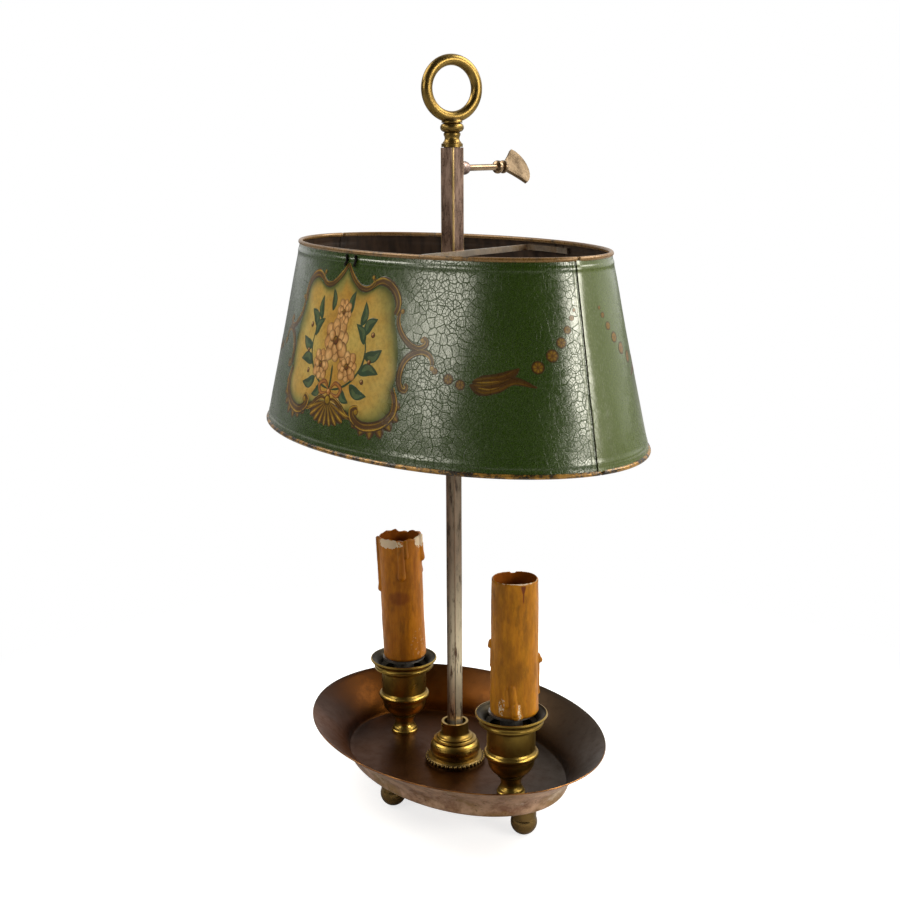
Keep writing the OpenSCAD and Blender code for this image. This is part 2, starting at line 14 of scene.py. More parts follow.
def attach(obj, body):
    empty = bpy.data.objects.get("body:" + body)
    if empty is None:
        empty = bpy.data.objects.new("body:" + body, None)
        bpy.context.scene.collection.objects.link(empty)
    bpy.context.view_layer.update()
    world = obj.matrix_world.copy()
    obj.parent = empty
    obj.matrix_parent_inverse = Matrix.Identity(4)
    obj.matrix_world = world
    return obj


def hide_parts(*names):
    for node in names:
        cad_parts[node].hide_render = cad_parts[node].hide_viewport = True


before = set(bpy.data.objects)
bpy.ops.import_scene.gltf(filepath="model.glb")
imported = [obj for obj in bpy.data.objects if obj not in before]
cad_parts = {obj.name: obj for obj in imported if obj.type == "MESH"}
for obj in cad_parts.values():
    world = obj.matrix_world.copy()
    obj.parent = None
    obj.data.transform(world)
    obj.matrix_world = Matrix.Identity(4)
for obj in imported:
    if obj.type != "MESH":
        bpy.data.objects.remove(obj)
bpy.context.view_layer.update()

MM = 0.001

# ------------------------------------------------------------------ sizes, as in the CAD model

TRAY_LEN, TRAY_WID = 225.0, 169.5
FLOOR_Z = 20.5
TRAY_DEPTH = 26.5
WALL_RUN = 27.8
FLOOR_PULL, RIM_PULL = 10.3, 39.7
RIM_SLOPE = math.radians(34)
TRAY_SHEET = 0.9

CUP_X = 59.0
SEAT_Z = 75.2
TUBE_H = 86.4
TUBE_BORE_R = 12.9
# Radii of each tube over its wax, at its top and at its base
RIGHT_TUBE_R, LEFT_TUBE_R = (14.2, 14.9), (14.5, 14.3)
LEAN = math.radians(1.9)
LEAN_DIR = math.radians(234)
LEAN_LIFT = 0.5
RIGHT_SLIP = (1.1, 1.5)

ROD_TOP_Z = 416.2
NECK_Z = ROD_TOP_Z + 14.1
RING_D, RING_BAR_D = 39.8, 6.8
RING_TURN = -10

STEM_TURN = math.radians(13.3)
ROD_SIDE = 7.4
SLEEVE_SIDE = 10.3

SHADE_LOW_Z = 243.4
SHADE_H = 115.7
SHADE_LOW = (300.6 / 2, 193.4 / 2)
SHADE_TOP = (252.6 / 2, 141.4 / 2)
SHADE_SHIFT = (-2.9, -2.9)
SEAM_TURN = -5.1
TIN = 0.6
LAP_TURN = 3.0
LAP_STEP = TIN + 0.12
ROLL_R = 1.35
ROLL_GAP = 0.4
ROLL_TURN = 1.2

STRIP_Z = SHADE_LOW_Z + SHADE_H - 8
STRIP_H = 3.6
WIRE_R = 0.7
FRONT_TIES = (-1.2, 7.8)
BACK_TIES = (18, 26)

# The camera stands to the right of the front, about level with the shade's top
CAMERA_AZIMUTH = math.radians(-36.34)
RIGHTWARDS = (-math.sin(CAMERA_AZIMUTH), math.cos(CAMERA_AZIMUTH))


# ------------------------------------------------------------------ meshes


def lerp(a, b, t):
    return a + (b - a) * t


def turns(count):
    """Angles of so many points evenly spread round a circle."""
    return [2 * math.pi * i / count for i in range(count)]


def polar(radius, angle, x=0.0, y=0.0):
    """Point at a radius and an angle round (x, y)."""
    return x + radius * math.cos(angle), y + radius * math.sin(angle)


def smooth(x, low, high):
    """0 below low, 1 above high and an even rise between them."""
    t = np.clip((x - low) / (high - low), 0, 1)
    return t * t * (3 - 2 * t)


def link(name, data):
    """New object in the scene."""
    obj = bpy.data.objects.new(name, data)
    bpy.context.scene.collection.objects.link(obj)
    return obj


def piece(name, points, faces, materials, body, stands_for=(), parts=None, tints=None):
    """Makes one piece of the lamp from points in millimetres and has it ride on its body."""
    mesh = bpy.data.meshes.new(name)
    mesh.from_pydata([tuple(float(x) * MM for x in p) for p in points], [], faces)
    for material in materials:
        mesh.materials.append(material)
    mesh.polygons.foreach_set("use_smooth", [True] * len(faces))
    if parts is not None:
        mesh.polygons.foreach_set("material_index", parts)
    for key, values in (tints or {}).items():
        values = np.asarray(values, np.float32)
        kind, field = ("FLOAT", "value") if values.ndim == 1 else ("FLOAT_COLOR", "color")
        mesh.attributes.new(key, kind, "POINT").data.foreach_set(field, values.ravel())
    mesh.validate()
    mesh.update()
    obj = link(name, mesh)
    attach(obj, body)
    if stands_for:
        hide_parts(*stands_for)
    return obj


def grid_faces(rows, columns, start=0, closed=False, flip=False):
    """Quads between rows of points that lie one after the other; closed joins each row's ends."""
    faces = []
    for i in range(rows - 1):
        for j in range(columns if closed else columns - 1):
            k = (j + 1) % columns
            quad = [i * columns + j, i * columns + k, (i + 1) * columns + k, (i + 1) * columns + j]
            faces.append([start + q for q in (reversed(quad) if flip else quad)])
    return faces


def sweep(loops):
    """Closed tube through loops with the same number of points."""
    count, sides = len(loops), len(loops[0])
    points = [p for loop in loops for p in loop]
    faces = grid_faces(count, sides, closed=True)
    faces.append(list(range(sides))[::-1])
    faces.append([(count - 1) * sides + j for j in range(sides)])
    return points, faces


# ------------------------------------------------------------------ materials


class Paint:
    """A material under construction. Most methods add one node and return its output."""

    def __init__(self, name):
        self.material = bpy.data.materials.new(name)
        self.material.use_nodes = True
        self.tree = self.material.node_tree
        self.shader = self.tree.nodes["Principled BSDF"]
        self.place = self.node("TexCoord").outputs["Object"]

    def node(self, kind, inputs=(), **settings):
        made = self.tree.nodes.new("ShaderNode" + kind)
        for key, value in settings.items():
            setattr(made, key, value)
        for key, value in dict(inputs).items():
            self.feed(made.inputs[key], value)
        return made

    def feed(self, socket, value):
        if isinstance(value, bpy.types.NodeSocket):
            self.tree.links.new(value, socket)
        else:
            opaque = socket.type == "RGBA" and len(value) == 3
            socket.default_value = (*value, 1) if opaque else value

    def set(self, **inputs):
        """Feeds the shader's sockets: base_color=..., roughness=... and so on."""
        for key, value in inputs.items():
            name = key.replace("_", " ")
            self.feed(next(s for s in self.shader.inputs if s.name.lower() == name), value)

    def done(self, **inputs):
        """Feeds the last sockets and returns the material."""
        self.set(**inputs)
        return self.material

    def math(self, operation, a, b=0.0, clamp=False):
        return self.node("Math", {0: a, 1: b}, operation=operation, use_clamp=clamp).outputs[0]

    def times(self, a, b, clamp=False):
        return self.math("MULTIPLY", a, b, clamp)

    def plus(self, a, b, clamp=False):
        return self.math("ADD", a, b, clamp)

    def minus(self, a, b):
        return self.math("SUBTRACT", a, b)

    def vector(self, operation, a, b=(0, 0, 0), c=(0, 0, 0)):
        return self.node("VectorMath", {0: a, 1: b, 2: c}, operation=operation).outputs[0]

    def noise(self, scale, detail=3.0, rough=0.5, place=None):
        inputs = {"Vector": place or self.place, "Scale": scale}
        inputs.update({"Detail": detail, "Roughness": rough})
        return self.node("TexNoise", inputs).outputs["Fac"]

    def cells(self, scale, feature="F1", output="Distance", place=None, dimensions="3D"):
        inputs = {"Vector": place or self.place, "Scale": scale}
        made = self.node("TexVoronoi", inputs, feature=feature, voronoi_dimensions=dimensions)
        return made.outputs[output]

    def step(self, value, low, high, to_low=0.0, to_high=1.0):
        """Even rise from to_low at value low to to_high at value high."""
        inputs = {"Value": value, "From Min": low, "From Max": high}
        inputs.update({"To Min": to_low, "To Max": to_high})
        return self.node("MapRange", inputs, interpolation_type="SMOOTHSTEP").outputs["Result"]

    def mix(self, share, a, b, blend="MIX"):
        made = self.node("Mix", data_type="RGBA", blend_type=blend)
        for index, value in ((0, share), (6, a), (7, b)):
            self.feed(made.inputs[index], value)
        return made.outputs[2]

    def wobble(self, scale, size, place=None):
        """The place, moved about by up to size metres, so that a pattern's lines wander."""
        inputs = {"Vector": self.place, "Scale": scale, "Detail": 2.0}
        colour = self.node("TexNoise", inputs).outputs["Color"]
        moved = self.vector("SUBTRACT", colour, (0.5, 0.5, 0.5))
        return self.vector("MULTIPLY_ADD", moved, (2 * size,) * 3, place or self.place)

    def stretched(self, x, y, z):
        return self.vector("MULTIPLY", self.place, (x, y, z))

    def axes(self, place=None):
        split = self.node("SeparateXYZ", {0: place or self.place})
        return split.outputs[0], split.outputs[1], split.outputs[2]

    def attribute(self, name, output="Fac"):
        return self.node("Attribute", attribute_name=name).outputs[output]

    def hollow(self, reach):
        """1 in hollows narrower than about reach metres, 0 in the open."""
        shade = self.node("AmbientOcclusion", {"Distance": reach}, samples=6, only_local=True)
        return self.minus(1.0, shade.outputs["AO"])

    def bump(self, height, distance, normal=None):
        inputs = {"Height": height, "Distance": distance, "Strength": 1.0}
        if normal:
            inputs["Normal"] = normal
        return self.node("Bump", inputs).outputs["Normal"]


# Cracks to a metre, and the radius that the shade's turns are measured along, in millimetres
CRACK_SCALE = 205.0
MEAN_RADIUS = 118
# How fine each net of cracks is, how wide and deep, and the patches it begins and is full in
CRACK_NETS = ((1.0, 0.06, 0.85, 0.36, 0.5), (2.1, 0.1, 0.55, 0.42, 0.6))


def crackle(paint, spread=0.0):
    """Crackled paint: how much of a crack each point is and each plate's own random colour."""
    x, y, z = paint.axes()
    turn = paint.math("ARCTAN2", paint.times(y, SHADE_LOW[0] / SHADE_LOW[1]), x)
    flat = paint.node("CombineXYZ", {0: paint.times(turn, MEAN_RADIUS * MM), 1: z}).outputs[0]
    place = paint.wobble(170.0, 0.0014, flat)
    lower = paint.step(z, 0.26, 0.35, 0.06, -0.04)
    shoulders = paint.times(paint.step(x, 0.04, 0.07), paint.step(y, -0.006, -0.016))
    spread = paint.plus(paint.step(shoulders, 0.0, 1.0, -0.13, 0.1), spread)
    patches = paint.plus(paint.plus(paint.noise(15.0, 3.0), lower), spread)
    nets = []
    for finer, reach, depth, low, high in CRACK_NETS:
        edge = paint.cells(CRACK_SCALE * finer, "DISTANCE_TO_EDGE", place=place, dimensions="2D")
        crack = paint.step(edge, 0.01, reach, depth, 0)
        nets.append(paint.times(crack, paint.step(patches, low, high)))
    plates = paint.cells(CRACK_SCALE, output="Color", place=place, dimensions="2D")
    return paint.math("MAXIMUM", *nets), plates


def tilted(paint, plates, amount):
    """The surface's normal with each plate of paint leaning its own way."""
    lean = paint.vector("SUBTRACT", plates, (0.5, 0.5, 0.5))
    normal = paint.node("NewGeometry").outputs["Normal"]
    return paint.vector("NORMALIZE", paint.vector("MULTIPLY_ADD", lean, (amount,) * 3, normal))


def green_paint(name, yellowing_and_painted_light):
    """Olive green under an old varnish. Its cracks don't shine, so they show where it does. The
    second value makes it lighter, yellower and less shiny: partly yellowed varnish, partly painted
    light for the brighter right end of the shade.
    """
    paint = Paint(name)
    cracks, plates = crackle(paint)
    shine = paint.times(paint.minus(1.0, cracks), 1.0 - 0.45 * yellowing_and_painted_light)
    blotches = paint.noise(26.0, 5.0, 0.6)
    green = paint.mix(blotches, (0.016, 0.038, 0.0003), (0.032, 0.064, 0.001))
    # Lighter, yellower green: partly yellowed varnish, partly painted light
    green = paint.mix(yellowing_and_painted_light, green, (0.085, 0.11, 0.003))
    specks = paint.cells(330.0, place=paint.wobble(500.0, 0.0008))
    specked = paint.step(paint.noise(45.0), 0.46, 0.58)
    specks = paint.times(paint.step(specks, 0.05, 0.12, 0.6, 0), specked)
    worn = paint.attribute("worn")
    green = paint.mix(paint.times(worn, 0.3), green, (0.2, 0.22, 0.09))
    dirt = paint.math("MAXIMUM", paint.times(cracks, 0.3), specks)
    colour = paint.mix(dirt, green, (0.006, 0.01, 0.005))
    micro = paint.noise(1.0, 3.0, 0.6, paint.stretched(1300, 1300, 420))
    gloss = paint.step(micro, 0.3, 0.7, 0.2, 0.3)
    roughness = paint.plus(gloss, paint.times(cracks, 0.4))
    normal = paint.bump(micro, 0.00004, tilted(paint, plates, 0.032))
    normal = paint.bump(paint.times(cracks, -1.0), 0.00004, normal)
    paint.set(base_color=colour, roughness=roughness, normal=normal)
    paint.set(specular_tint=(1.0, 0.99, 0.84), specular_ior_level=shine)
    paint.set(coat_weight=shine, coat_roughness=gloss)
    return paint.done(coat_normal=normal)


def ornament_paint():
    """Paint laid over the green: its colour comes with the mesh, and the same net cracks it."""
    paint = Paint("painted_ornament")
    gloss = 0.3
    cracks, plates = crackle(paint, -0.12)
    shine = paint.minus(1.0, paint.times(cracks, 0.8))
    tint = paint.attribute("tint", "Color")
    streaks = paint.noise(420.0, 4.0, 0.65)
    clouds = paint.noise(75.0, 4.0, 0.6)
    clouded = paint.step(clouds, 0.36, 0.64, 0.62, 0.0)
    colour = paint.mix(clouded, tint, (0.92, 0.76, 0.56), "MULTIPLY")
    colour = paint.mix(paint.step(streaks, 0.35, 0.75, 0.0, 0.3), colour, (0.05, 0.03, 0.008))
    colour = paint.mix(paint.times(cracks, 0.25), colour, (0.03, 0.025, 0.015))
    normal = paint.bump(streaks, 0.00005, tilted(paint, plates, 0.05))
    paint.set(base_color=colour, roughness=gloss, normal=normal, specular_tint=(1.0, 0.97, 0.82))
    varnish = paint.times(shine, 0.4)
    paint.set(specular_ior_level=varnish, coat_weight=varnish)
    return paint.done(coat_roughness=gloss, coat_normal=normal)


def inner_paint():
    paint = Paint("dark_brown_inside")
    streaks = paint.noise(1.0, 4.0, 0.6, paint.stretched(160, 160, 22))
    colour = paint.mix(paint.step(streaks, 0.35, 0.7), (0.018, 0.009, 0.004), (0.05, 0.026, 0.013))
    normal = paint.bump(paint.noise(400.0, 3.0), 0.0001)
    return paint.done(base_color=colour, roughness=0.55, normal=normal, specular_ior_level=0.3)


def rim_paint(name, gold, dark, worn):
    """Worn gold paint on the rolled edges; worn is how much of it has gone."""
    paint = Paint(name)
    patches = paint.noise(90.0, 5.0, 0.75)
    fine = paint.noise(900.0, 3.0, 0.6)
    bare = paint.step(paint.plus(patches, paint.times(fine, 0.3)), worn, worn + 0.16)
    colour = paint.mix(bare, gold, dark)
    roughness = paint.step(fine, 0.3, 0.7, 0.22, 0.42)
    paint.set(base_color=colour, roughness=roughness, normal=paint.bump(fine, 0.00012))
    return paint.done(metallic=0.35, specular_ior_level=0.6)


def aged_brass(name, colour, patina, gloss, uneven=0.00005, cup=False):
    """Turned brass, dark in its hollows. The funnel inside a cup's lip is painted dark grey as
    shade.
    """
    paint = Paint(name)
    cloud = paint.noise(55.0, 4.0, 0.6)
    dirt = paint.times(paint.hollow(0.006), 1.5, clamp=True)
    dirt = paint.plus(dirt, paint.step(cloud, 0.42, 0.75, 0.0, 0.5), clamp=True)
    base = paint.mix(dirt, colour, patina)
    rough = paint.times(dirt, 0.22)
    if cup:
        x, y, z = paint.axes()
        across = paint.minus(x, paint.times(paint.math("SIGN", x), CUP_X * MM))
        nx, ny, _ = paint.axes(paint.node("NewGeometry").outputs["Normal"])
        outward = paint.plus(paint.times(nx, across), paint.times(ny, y))
        # Painted shade: inward faces near the cup's top are darkened to grey and made rougher
        dark_inside = paint.times(paint.step(outward, -0.004, 0.002, 1, 0), paint.step(z, 0.06, 0.064))
        base = paint.mix(paint.times(dark_inside, 0.93), base, (0.035, 0.032, 0.026))
        rough = paint.plus(rough, paint.times(dark_inside, 0.2))
    grain = paint.step(paint.noise(280.0, 3.0), 0.3, 0.7, gloss, gloss + 0.06)
    roughness = paint.plus(rough, grain)
    normal = paint.bump(paint.noise(120.0, 3.0), uneven)
    return paint.done(base_color=base, roughness=roughness, normal=normal, metallic=1.0)


def tray_inside():
    """Dark coppery brown, with painted light: more orange to the left of the camera as painted
    reflection, darker at the far end and darkest on the floor as painted shade.
    """
    paint = Paint("tray_coppery_inside")
    cloud = paint.noise(16.0, 4.0, 0.55)
    mottle = paint.noise(160.0, 5.0, 0.7)
    x, y, z = paint.axes()
    drift = paint.step(cloud, 0.3, 0.7, -0.012, 0.012)
    # Painted reflection: warmer orange to the camera's left, browner to its right
    right = paint.plus(paint.times(x, RIGHTWARDS[0]), paint.times(y, RIGHTWARDS[1]))
    right = paint.plus(right, drift)
    base = paint.mix(paint.step(right, -0.01, 0.07), (0.12, 0.036, 0.003), (0.07, 0.042, 0.022))
    # Painted shade: the far end's wall is darkened
    far_end_shade = paint.step(paint.plus(x, drift), -0.1, -0.05, 0.95, 0.0)
    base = paint.mix(far_end_shade, base, (0.032, 0.01, 0.001))
    # Painted shade: the floor is darker than the wall
    base = paint.mix(paint.step(z, 0.0208, 0.0235, 1.0, 0.0), base, (0.6, 0.62, 0.66), "MULTIPLY")
    base = paint.mix(paint.step(mottle, 0.5, 0.85, 0.0, 0.5), base, (0.035, 0.015, 0.006))
    roughness = paint.step(mottle, 0.3, 0.8, 0.34, 0.5)
    normal = paint.bump(paint.noise(700.0, 4.0), 0.00004)
    return paint.done(base_color=base, roughness=roughness, normal=normal, metallic=0.98)


def tray_lip():
    """Brighter copper along the rim's lip, in patches: a painted highlight."""
    paint = Paint("tray_lip_painted_highlight")
    # The patches vary the painted highlight along the lip
    wear = paint.step(paint.noise(60.0, 4.0), 0.4, 0.6)
    base = paint.mix(wear, (0.13, 0.055, 0.02), (0.36, 0.16, 0.05))
    return paint.done(base_color=base, roughness=0.38, metallic=1.0)


def tray_outside():
    """Worn plating over copper, with brassy and silvery patches and dark pits."""
    paint = Paint("tray_worn_outside")
    mottle = paint.noise(75.0, 6.0, 0.7)
    fine = paint.noise(420.0, 4.0, 0.7)
    base = paint.mix(paint.step(mottle, 0.35, 0.65), (0.66, 0.43, 0.28), (0.27, 0.13, 0.075))
    brassy = paint.step(paint.noise(38.0, 3.0), 0.5, 0.66, 0.0, 0.6)
    silvery = paint.step(paint.noise(52.0, 5.0, 0.7), 0.58, 0.66, 0.0, 0.5)
    base = paint.mix(brassy, base, (0.42, 0.26, 0.08))
    base = paint.mix(silvery, base, (0.85, 0.72, 0.56))
    pits = paint.times(paint.step(fine, 0.58, 0.7), paint.step(paint.noise(50.0), 0.42, 0.6))
    base = paint.mix(pits, base, (0.035, 0.02, 0.012))
    roughness = paint.step(fine, 0.3, 0.7, 0.3, 0.5)
    height = paint.minus(fine, paint.times(pits, 0.6))
    normal = paint.bump(height, 0.00012)
    return paint.done(base_color=base, roughness=roughness, normal=normal, metallic=0.85)


def square_steel(name, side, dark, light, arris_colour, bright=None):
    """Square steel, worn along its corners. Where bright is given, the face on the camera's right
    is painted lighter low down, a painted reflection.
    """
    paint = Paint(name)
    inputs = {"Vector": paint.place, "Angle": -STEM_TURN}
    turned = paint.node("VectorRotate", inputs, rotation_type="Z_AXIS")
    x, y, z = paint.axes(turned.outputs[0])
    corner = paint.plus(paint.math("ABSOLUTE", x), paint.math("ABSOLUTE", y))
    arris = paint.step(corner, side * 0.9 * MM, side * 0.945 * MM)
    grime = paint.noise(1.0, 5.0, 0.7, paint.stretched(260, 260, 60))
    fine = paint.noise(800.0, 4.0, 0.65)
    base = paint.mix(paint.step(grime, 0.36, 0.64), light, dark)
    pits = paint.step(paint.plus(fine, paint.times(grime, 0.5)), 0.8, 0.92, 0.0, 0.7)
    base = paint.mix(pits, base, (0.03, 0.02, 0.014))
    if bright:
        # Painted reflection: the face on the camera's right is lighter low down
        right_face = paint.step(x, -0.0028, 0.0022, 0.12, 1.0)
        painted_reflection = paint.times(paint.step(z, 0.06, 0.17, 0.9, 0.12), right_face)
        base = paint.mix(painted_reflection, base, paint.mix(paint.step(grime, 0.5, 0.66), bright, light))
    wear = paint.times(arris, paint.step(grime, 0.25, 0.6, 1.0, 0.55))
    base = paint.mix(wear, base, arris_colour)
    roughness = paint.step(fine, 0.3, 0.7, 0.28, 0.44)
    normal = paint.bump(fine, 0.00006)
    return paint.done(base_color=base, roughness=roughness, normal=normal, metallic=0.9)


def plain_metal(name, colour, dark, roughness, scale=300.0, metallic=0.95):
    """Small fittings: one metal with dull patches."""
    paint = Paint(name)
    fine = paint.noise(scale, 5.0, 0.65)
    base = paint.mix(paint.step(fine, 0.38, 0.68), colour, dark)
    gloss = paint.step(fine, 0.3, 0.7, roughness, roughness + 0.2)
    normal = paint.bump(fine, 0.00008)
    return paint.done(base_color=base, roughness=gloss, normal=normal, metallic=metallic)


def holder_moulding():
    paint = Paint("holder_moulding")
    swirl = paint.noise(120.0, 5.0, 0.6)
    base = paint.mix(swirl, (0.014, 0.009, 0.006), (0.04, 0.022, 0.012))
    paint.set(base_color=base, roughness=paint.step(swirl, 0.3, 0.7, 0.3, 0.45))
    return paint.done(normal=paint.bump(paint.noise(700.0), 0.00003))


def wax(name, light, deep, smudge):
    """Waxed candle tube with faint streaks down it. The mesh marks its stains and chips, and on the
    right tube one painted highlight.
    """
    paint = Paint(name)
    streaks = paint.noise(1.0, 4.0, 0.6, paint.stretched(260, 260, 45))
    cloud = paint.noise(1.0, 6.0, 0.72, paint.stretched(125, 125, 42))
    base = paint.mix(paint.step(streaks, 0.25, 0.75), light, deep)
    base = paint.mix(paint.step(cloud, 0.4, 0.7, 0.0, 0.62), base, smudge)
    grime = paint.noise(1.0, 4.0, 0.7, paint.stretched(200, 200, 60))
    base = paint.mix(paint.step(grime, 0.52, 0.7, 0.0, 0.5), base, (0.12, 0.05, 0.003))
    specks = paint.step(paint.noise(650.0, 3.0, 0.7), 0.66, 0.78, 0.0, 0.5)
    base = paint.mix(specks, base, (0.1, 0.034, 0.006))
    base = paint.mix(paint.attribute("stain"), base, (0.12, 0.016, 0.003))
    chip = paint.attribute("chip")
    rag = paint.plus(paint.noise(420.0, 4.0, 0.6), paint.times(paint.noise(1300.0, 2.0), 0.35))
    chipped = paint.step(paint.plus(chip, paint.step(rag, 0.35, 0.9, -0.55, 0.55)), 0.42, 0.5)
    chipped = paint.times(chipped, paint.step(chip, 0.02, 0.12))
    base = paint.mix(chipped, base, (0.62, 0.48, 0.32))
    grain = paint.plus(paint.times(streaks, 0.5), paint.noise(900.0, 2.0))
    roughness = paint.plus(paint.step(cloud, 0.3, 0.7, 0.34, 0.5), paint.times(chipped, 0.3))
    normal = paint.bump(grain, 0.0001)
    paint.set(base_color=base, roughness=roughness, normal=normal, specular_ior_level=0.18)
    return paint.done(subsurface_weight=0.06, subsurface_scale=0.003)


def tube_inside():
    paint = Paint("tube_inside")
    dark_inside = paint.noise(150.0, 5.0, 0.6)
    base = paint.mix(dark_inside, (0.12, 0.026, 0.0006), (0.27, 0.07, 0.002))
    normal = paint.bump(dark_inside, 0.0002)
    return paint.done(base_color=base, roughness=0.8, normal=normal, specular_ior_level=0.08)


# ------------------------------------------------------------------ tray


WALL_CONTROLS = np.array([
    (-WALL_RUN, 0), (FLOOR_PULL - WALL_RUN, 0),
    (-RIM_PULL * math.cos(RIM_SLOPE), TRAY_DEPTH - RIM_PULL * math.sin(RIM_SLOPE)), (0, TRAY_DEPTH),
])
# How far the tray's mesh lies below the solid's floor, so that what stands on it meets it
SINK = 0.02


def wall_point(s, out):
    """Point of the wall's profile, from the rim's line and the floor, out below its inside."""
    p, r = WALL_CONTROLS, 1 - s
    x, z = r**3 * p[0] + 3 * s * r**2 * p[1] + 3 * s**2 * r * p[2] + s**3 * p[3]
    dx, dz = r**2 * (p[1] - p[0]) + 2 * s * r * (p[2] - p[1]) + s**2 * (p[3] - p[2])
    length = math.hypot(dx, dz)
    return x + out * dz / length, z - out * dx / length


def tray(inside, outside, lip_metal):
    """Thin oval pan with a crease where its wall bends up and a rim rounded over by use."""
    sides, steps, floor_rings = 256, 36, 14
    rim_out = TRAY_SHEET * math.sin(RIM_SLOPE)
    crease_at, crease_width, crease_depth = 0.2, 0.03, 0.25

    def wall(s, out):
        across, height = wall_point(s, out)
        height -= crease_depth * math.exp(-(((s - crease_at) / crease_width) ** 2))
        return TRAY_LEN / 2 + across - rim_out, TRAY_WID / 2 + across - rim_out, FLOOR_Z + height

    floor_a, floor_b = wall(0, 0)[:2]
    spread = [1 - (k / floor_rings) ** 1.5 for k in range(1, floor_rings)]
    under = [(floor_a * k, floor_b * k, FLOOR_Z - TRAY_SHEET) for k in reversed(spread)]
    up = [wall(k / steps, TRAY_SHEET) for k in range(steps + 1)]
    lip = [wall(1 + 0.004, TRAY_SHEET * k) for k in (0.8, 0.5, 0.2)]
    down = [wall(k / steps, 0) for k in range(steps, -1, -1)]
    over = [(floor_a * k, floor_b * k, FLOOR_Z) for k in spread]
    rings = under + up + lip + down + over
    outside_rings = len(under) + len(up) - 1
    points = []
    for a, b, z in rings:
        for t in turns(sides):
            dent = 0.16 * math.sin(3 * t + z / 9) + 0.1 * math.sin(7 * t + 1)
            z_here = z + dent * smooth(z, FLOOR_Z, FLOOR_Z + 8) - SINK
            points.append((a * math.cos(t), b * math.sin(t), z_here))
    faces = grid_faces(len(rings), sides, closed=True)
    # The lip's rings take the third material, a painted highlight
    parts = [1] * (outside_rings * sides) + [2] * (len(lip) * sides)
    parts += [0] * (len(faces) - len(parts))
    last = len(points)
    points += [(0, 0, FLOOR_Z - TRAY_SHEET - SINK), (0, 0, FLOOR_Z - SINK)]
    for i in range(sides):
        j = (i + 1) % sides
        faces.append([last, j, i])
        faces.append([last + 1, last - sides + i, last - sides + j])
        parts += [1, 0]
    materials = [inside, outside, lip_metal]
    piece("tray_pan", points, faces, materials, "base", ["tray"], parts)


# ------------------------------------------------------------------ carrying ring


def carrying_ring(material):
    """Round bar bent to a ring, worn a little thinner inside its top, on a low turned cushion."""
    around, sides = 160, 40
    ring_turn = math.radians(RING_TURN)
    centre_r = (RING_D - RING_BAR_D) / 2
    wear = 0.18
    points = []
    for w in turns(around):
        worn = wear * max(0.0, math.sin(w)) ** 6
        for v in turns(sides):
            bar = RING_BAR_D / 2 - worn * max(0.0, -math.cos(v))
            outwards, off = polar(bar, v)
            along, z = polar(centre_r + outwards, w)
            x, y = polar(off, ring_turn, *polar(along, ring_turn + math.pi / 2))
            points.append((x, y, NECK_Z + RING_D / 2 + z))
    quads = grid_faces(around + 1, sides, closed=True)
    faces = [[q % (around * sides) for q in quad] for quad in quads]
    start = len(points)
    points.append((0, 0, NECK_Z + 0.02))
    rows = curve([(6.29, 0.02), (6.2, 1), (5.4, 2), (4, 2.8), (2, 3.1), (0.3, 3.18)], 5)
    points += [(*polar(r, v), NECK_Z + z) for r, z in rows for v in turns(sides)]
    faces += grid_faces(len(rows), sides, start + 1, closed=True)
    faces += [[start, start + 1 + (j + 1) % sides, start + 1 + j] for j in range(sides)]
    faces.append([len(points) - sides + j for j in range(sides)])
    piece("ring_and_cushion", points, faces, [material], "base", ["carrying_ring"])


# ------------------------------------------------------------------ shade


def half_axes(z):
    k = (z - SHADE_LOW_Z) / SHADE_H
    return lerp(SHADE_LOW[0], SHADE_TOP[0], k), lerp(SHADE_LOW[1], SHADE_TOP[1], k)


def dents(t, z):
    """Unevenness of the hand-bent tin, in millimetres outwards. t is in radians."""
    calm = smooth(z, SHADE_LOW_Z, SHADE_LOW_Z + 20)
    calm *= 1 - smooth(z, SHADE_LOW_Z + 95, SHADE_LOW_Z + SHADE_H)
    slow = 0.22 * math.sin(5 * t + z / 37 + 0.6) + 0.14 * math.sin(11 * t - z / 21)
    return calm * (slow + 0.06 * math.sin(23 * t + z / 9))


def on_shade(degrees, z, out=0.0):
    """Point of the shade's outside at an angle and a height, moved out by some millimetres."""
    t = math.radians(degrees)
    a, b = half_axes(z)
    out += dents(t, z)
    return SHADE_SHIFT[0] + (a + out) * math.cos(t), SHADE_SHIFT[1] + (b + out) * math.sin(t), z


def wall_rows():
    """Heights of the wall and how far it swells there: it has a swaged line near each roll."""
    low, top = SHADE_LOW_Z + 2 * ROLL_R - 0.6, SHADE_LOW_Z + SHADE_H - 2 * ROLL_R + 0.6
    rows = []
    swages = ((SHADE_LOW_Z + 6.5, 1.4, 0.16), (SHADE_LOW_Z + SHADE_H - 6.2, 1.5, 0.26))
    heights = list(np.linspace(low, top, 60))
    for middle, reach, _ in swages:
        heights = [z for z in heights if abs(z - middle) > reach + 0.3]
        heights += list(np.linspace(middle - reach, middle + reach, 13))
    for z in sorted(heights):
        swell = 0.0
        for middle, reach, height in swages:
            swell += height * math.cos(math.pi / 2 * min(1.0, abs(z - middle) / reach)) ** 0.8
        rows.append((z, swell))
    return rows


def solder_ridge(away):
    """Rise of the tin a few degrees short of the other half's lapped edge."""
    height, middle, width = 0.22, 1.3, 0.55
    return height * math.exp(-(((away - middle) / width) ** 2)) if away > 0 else 0.0


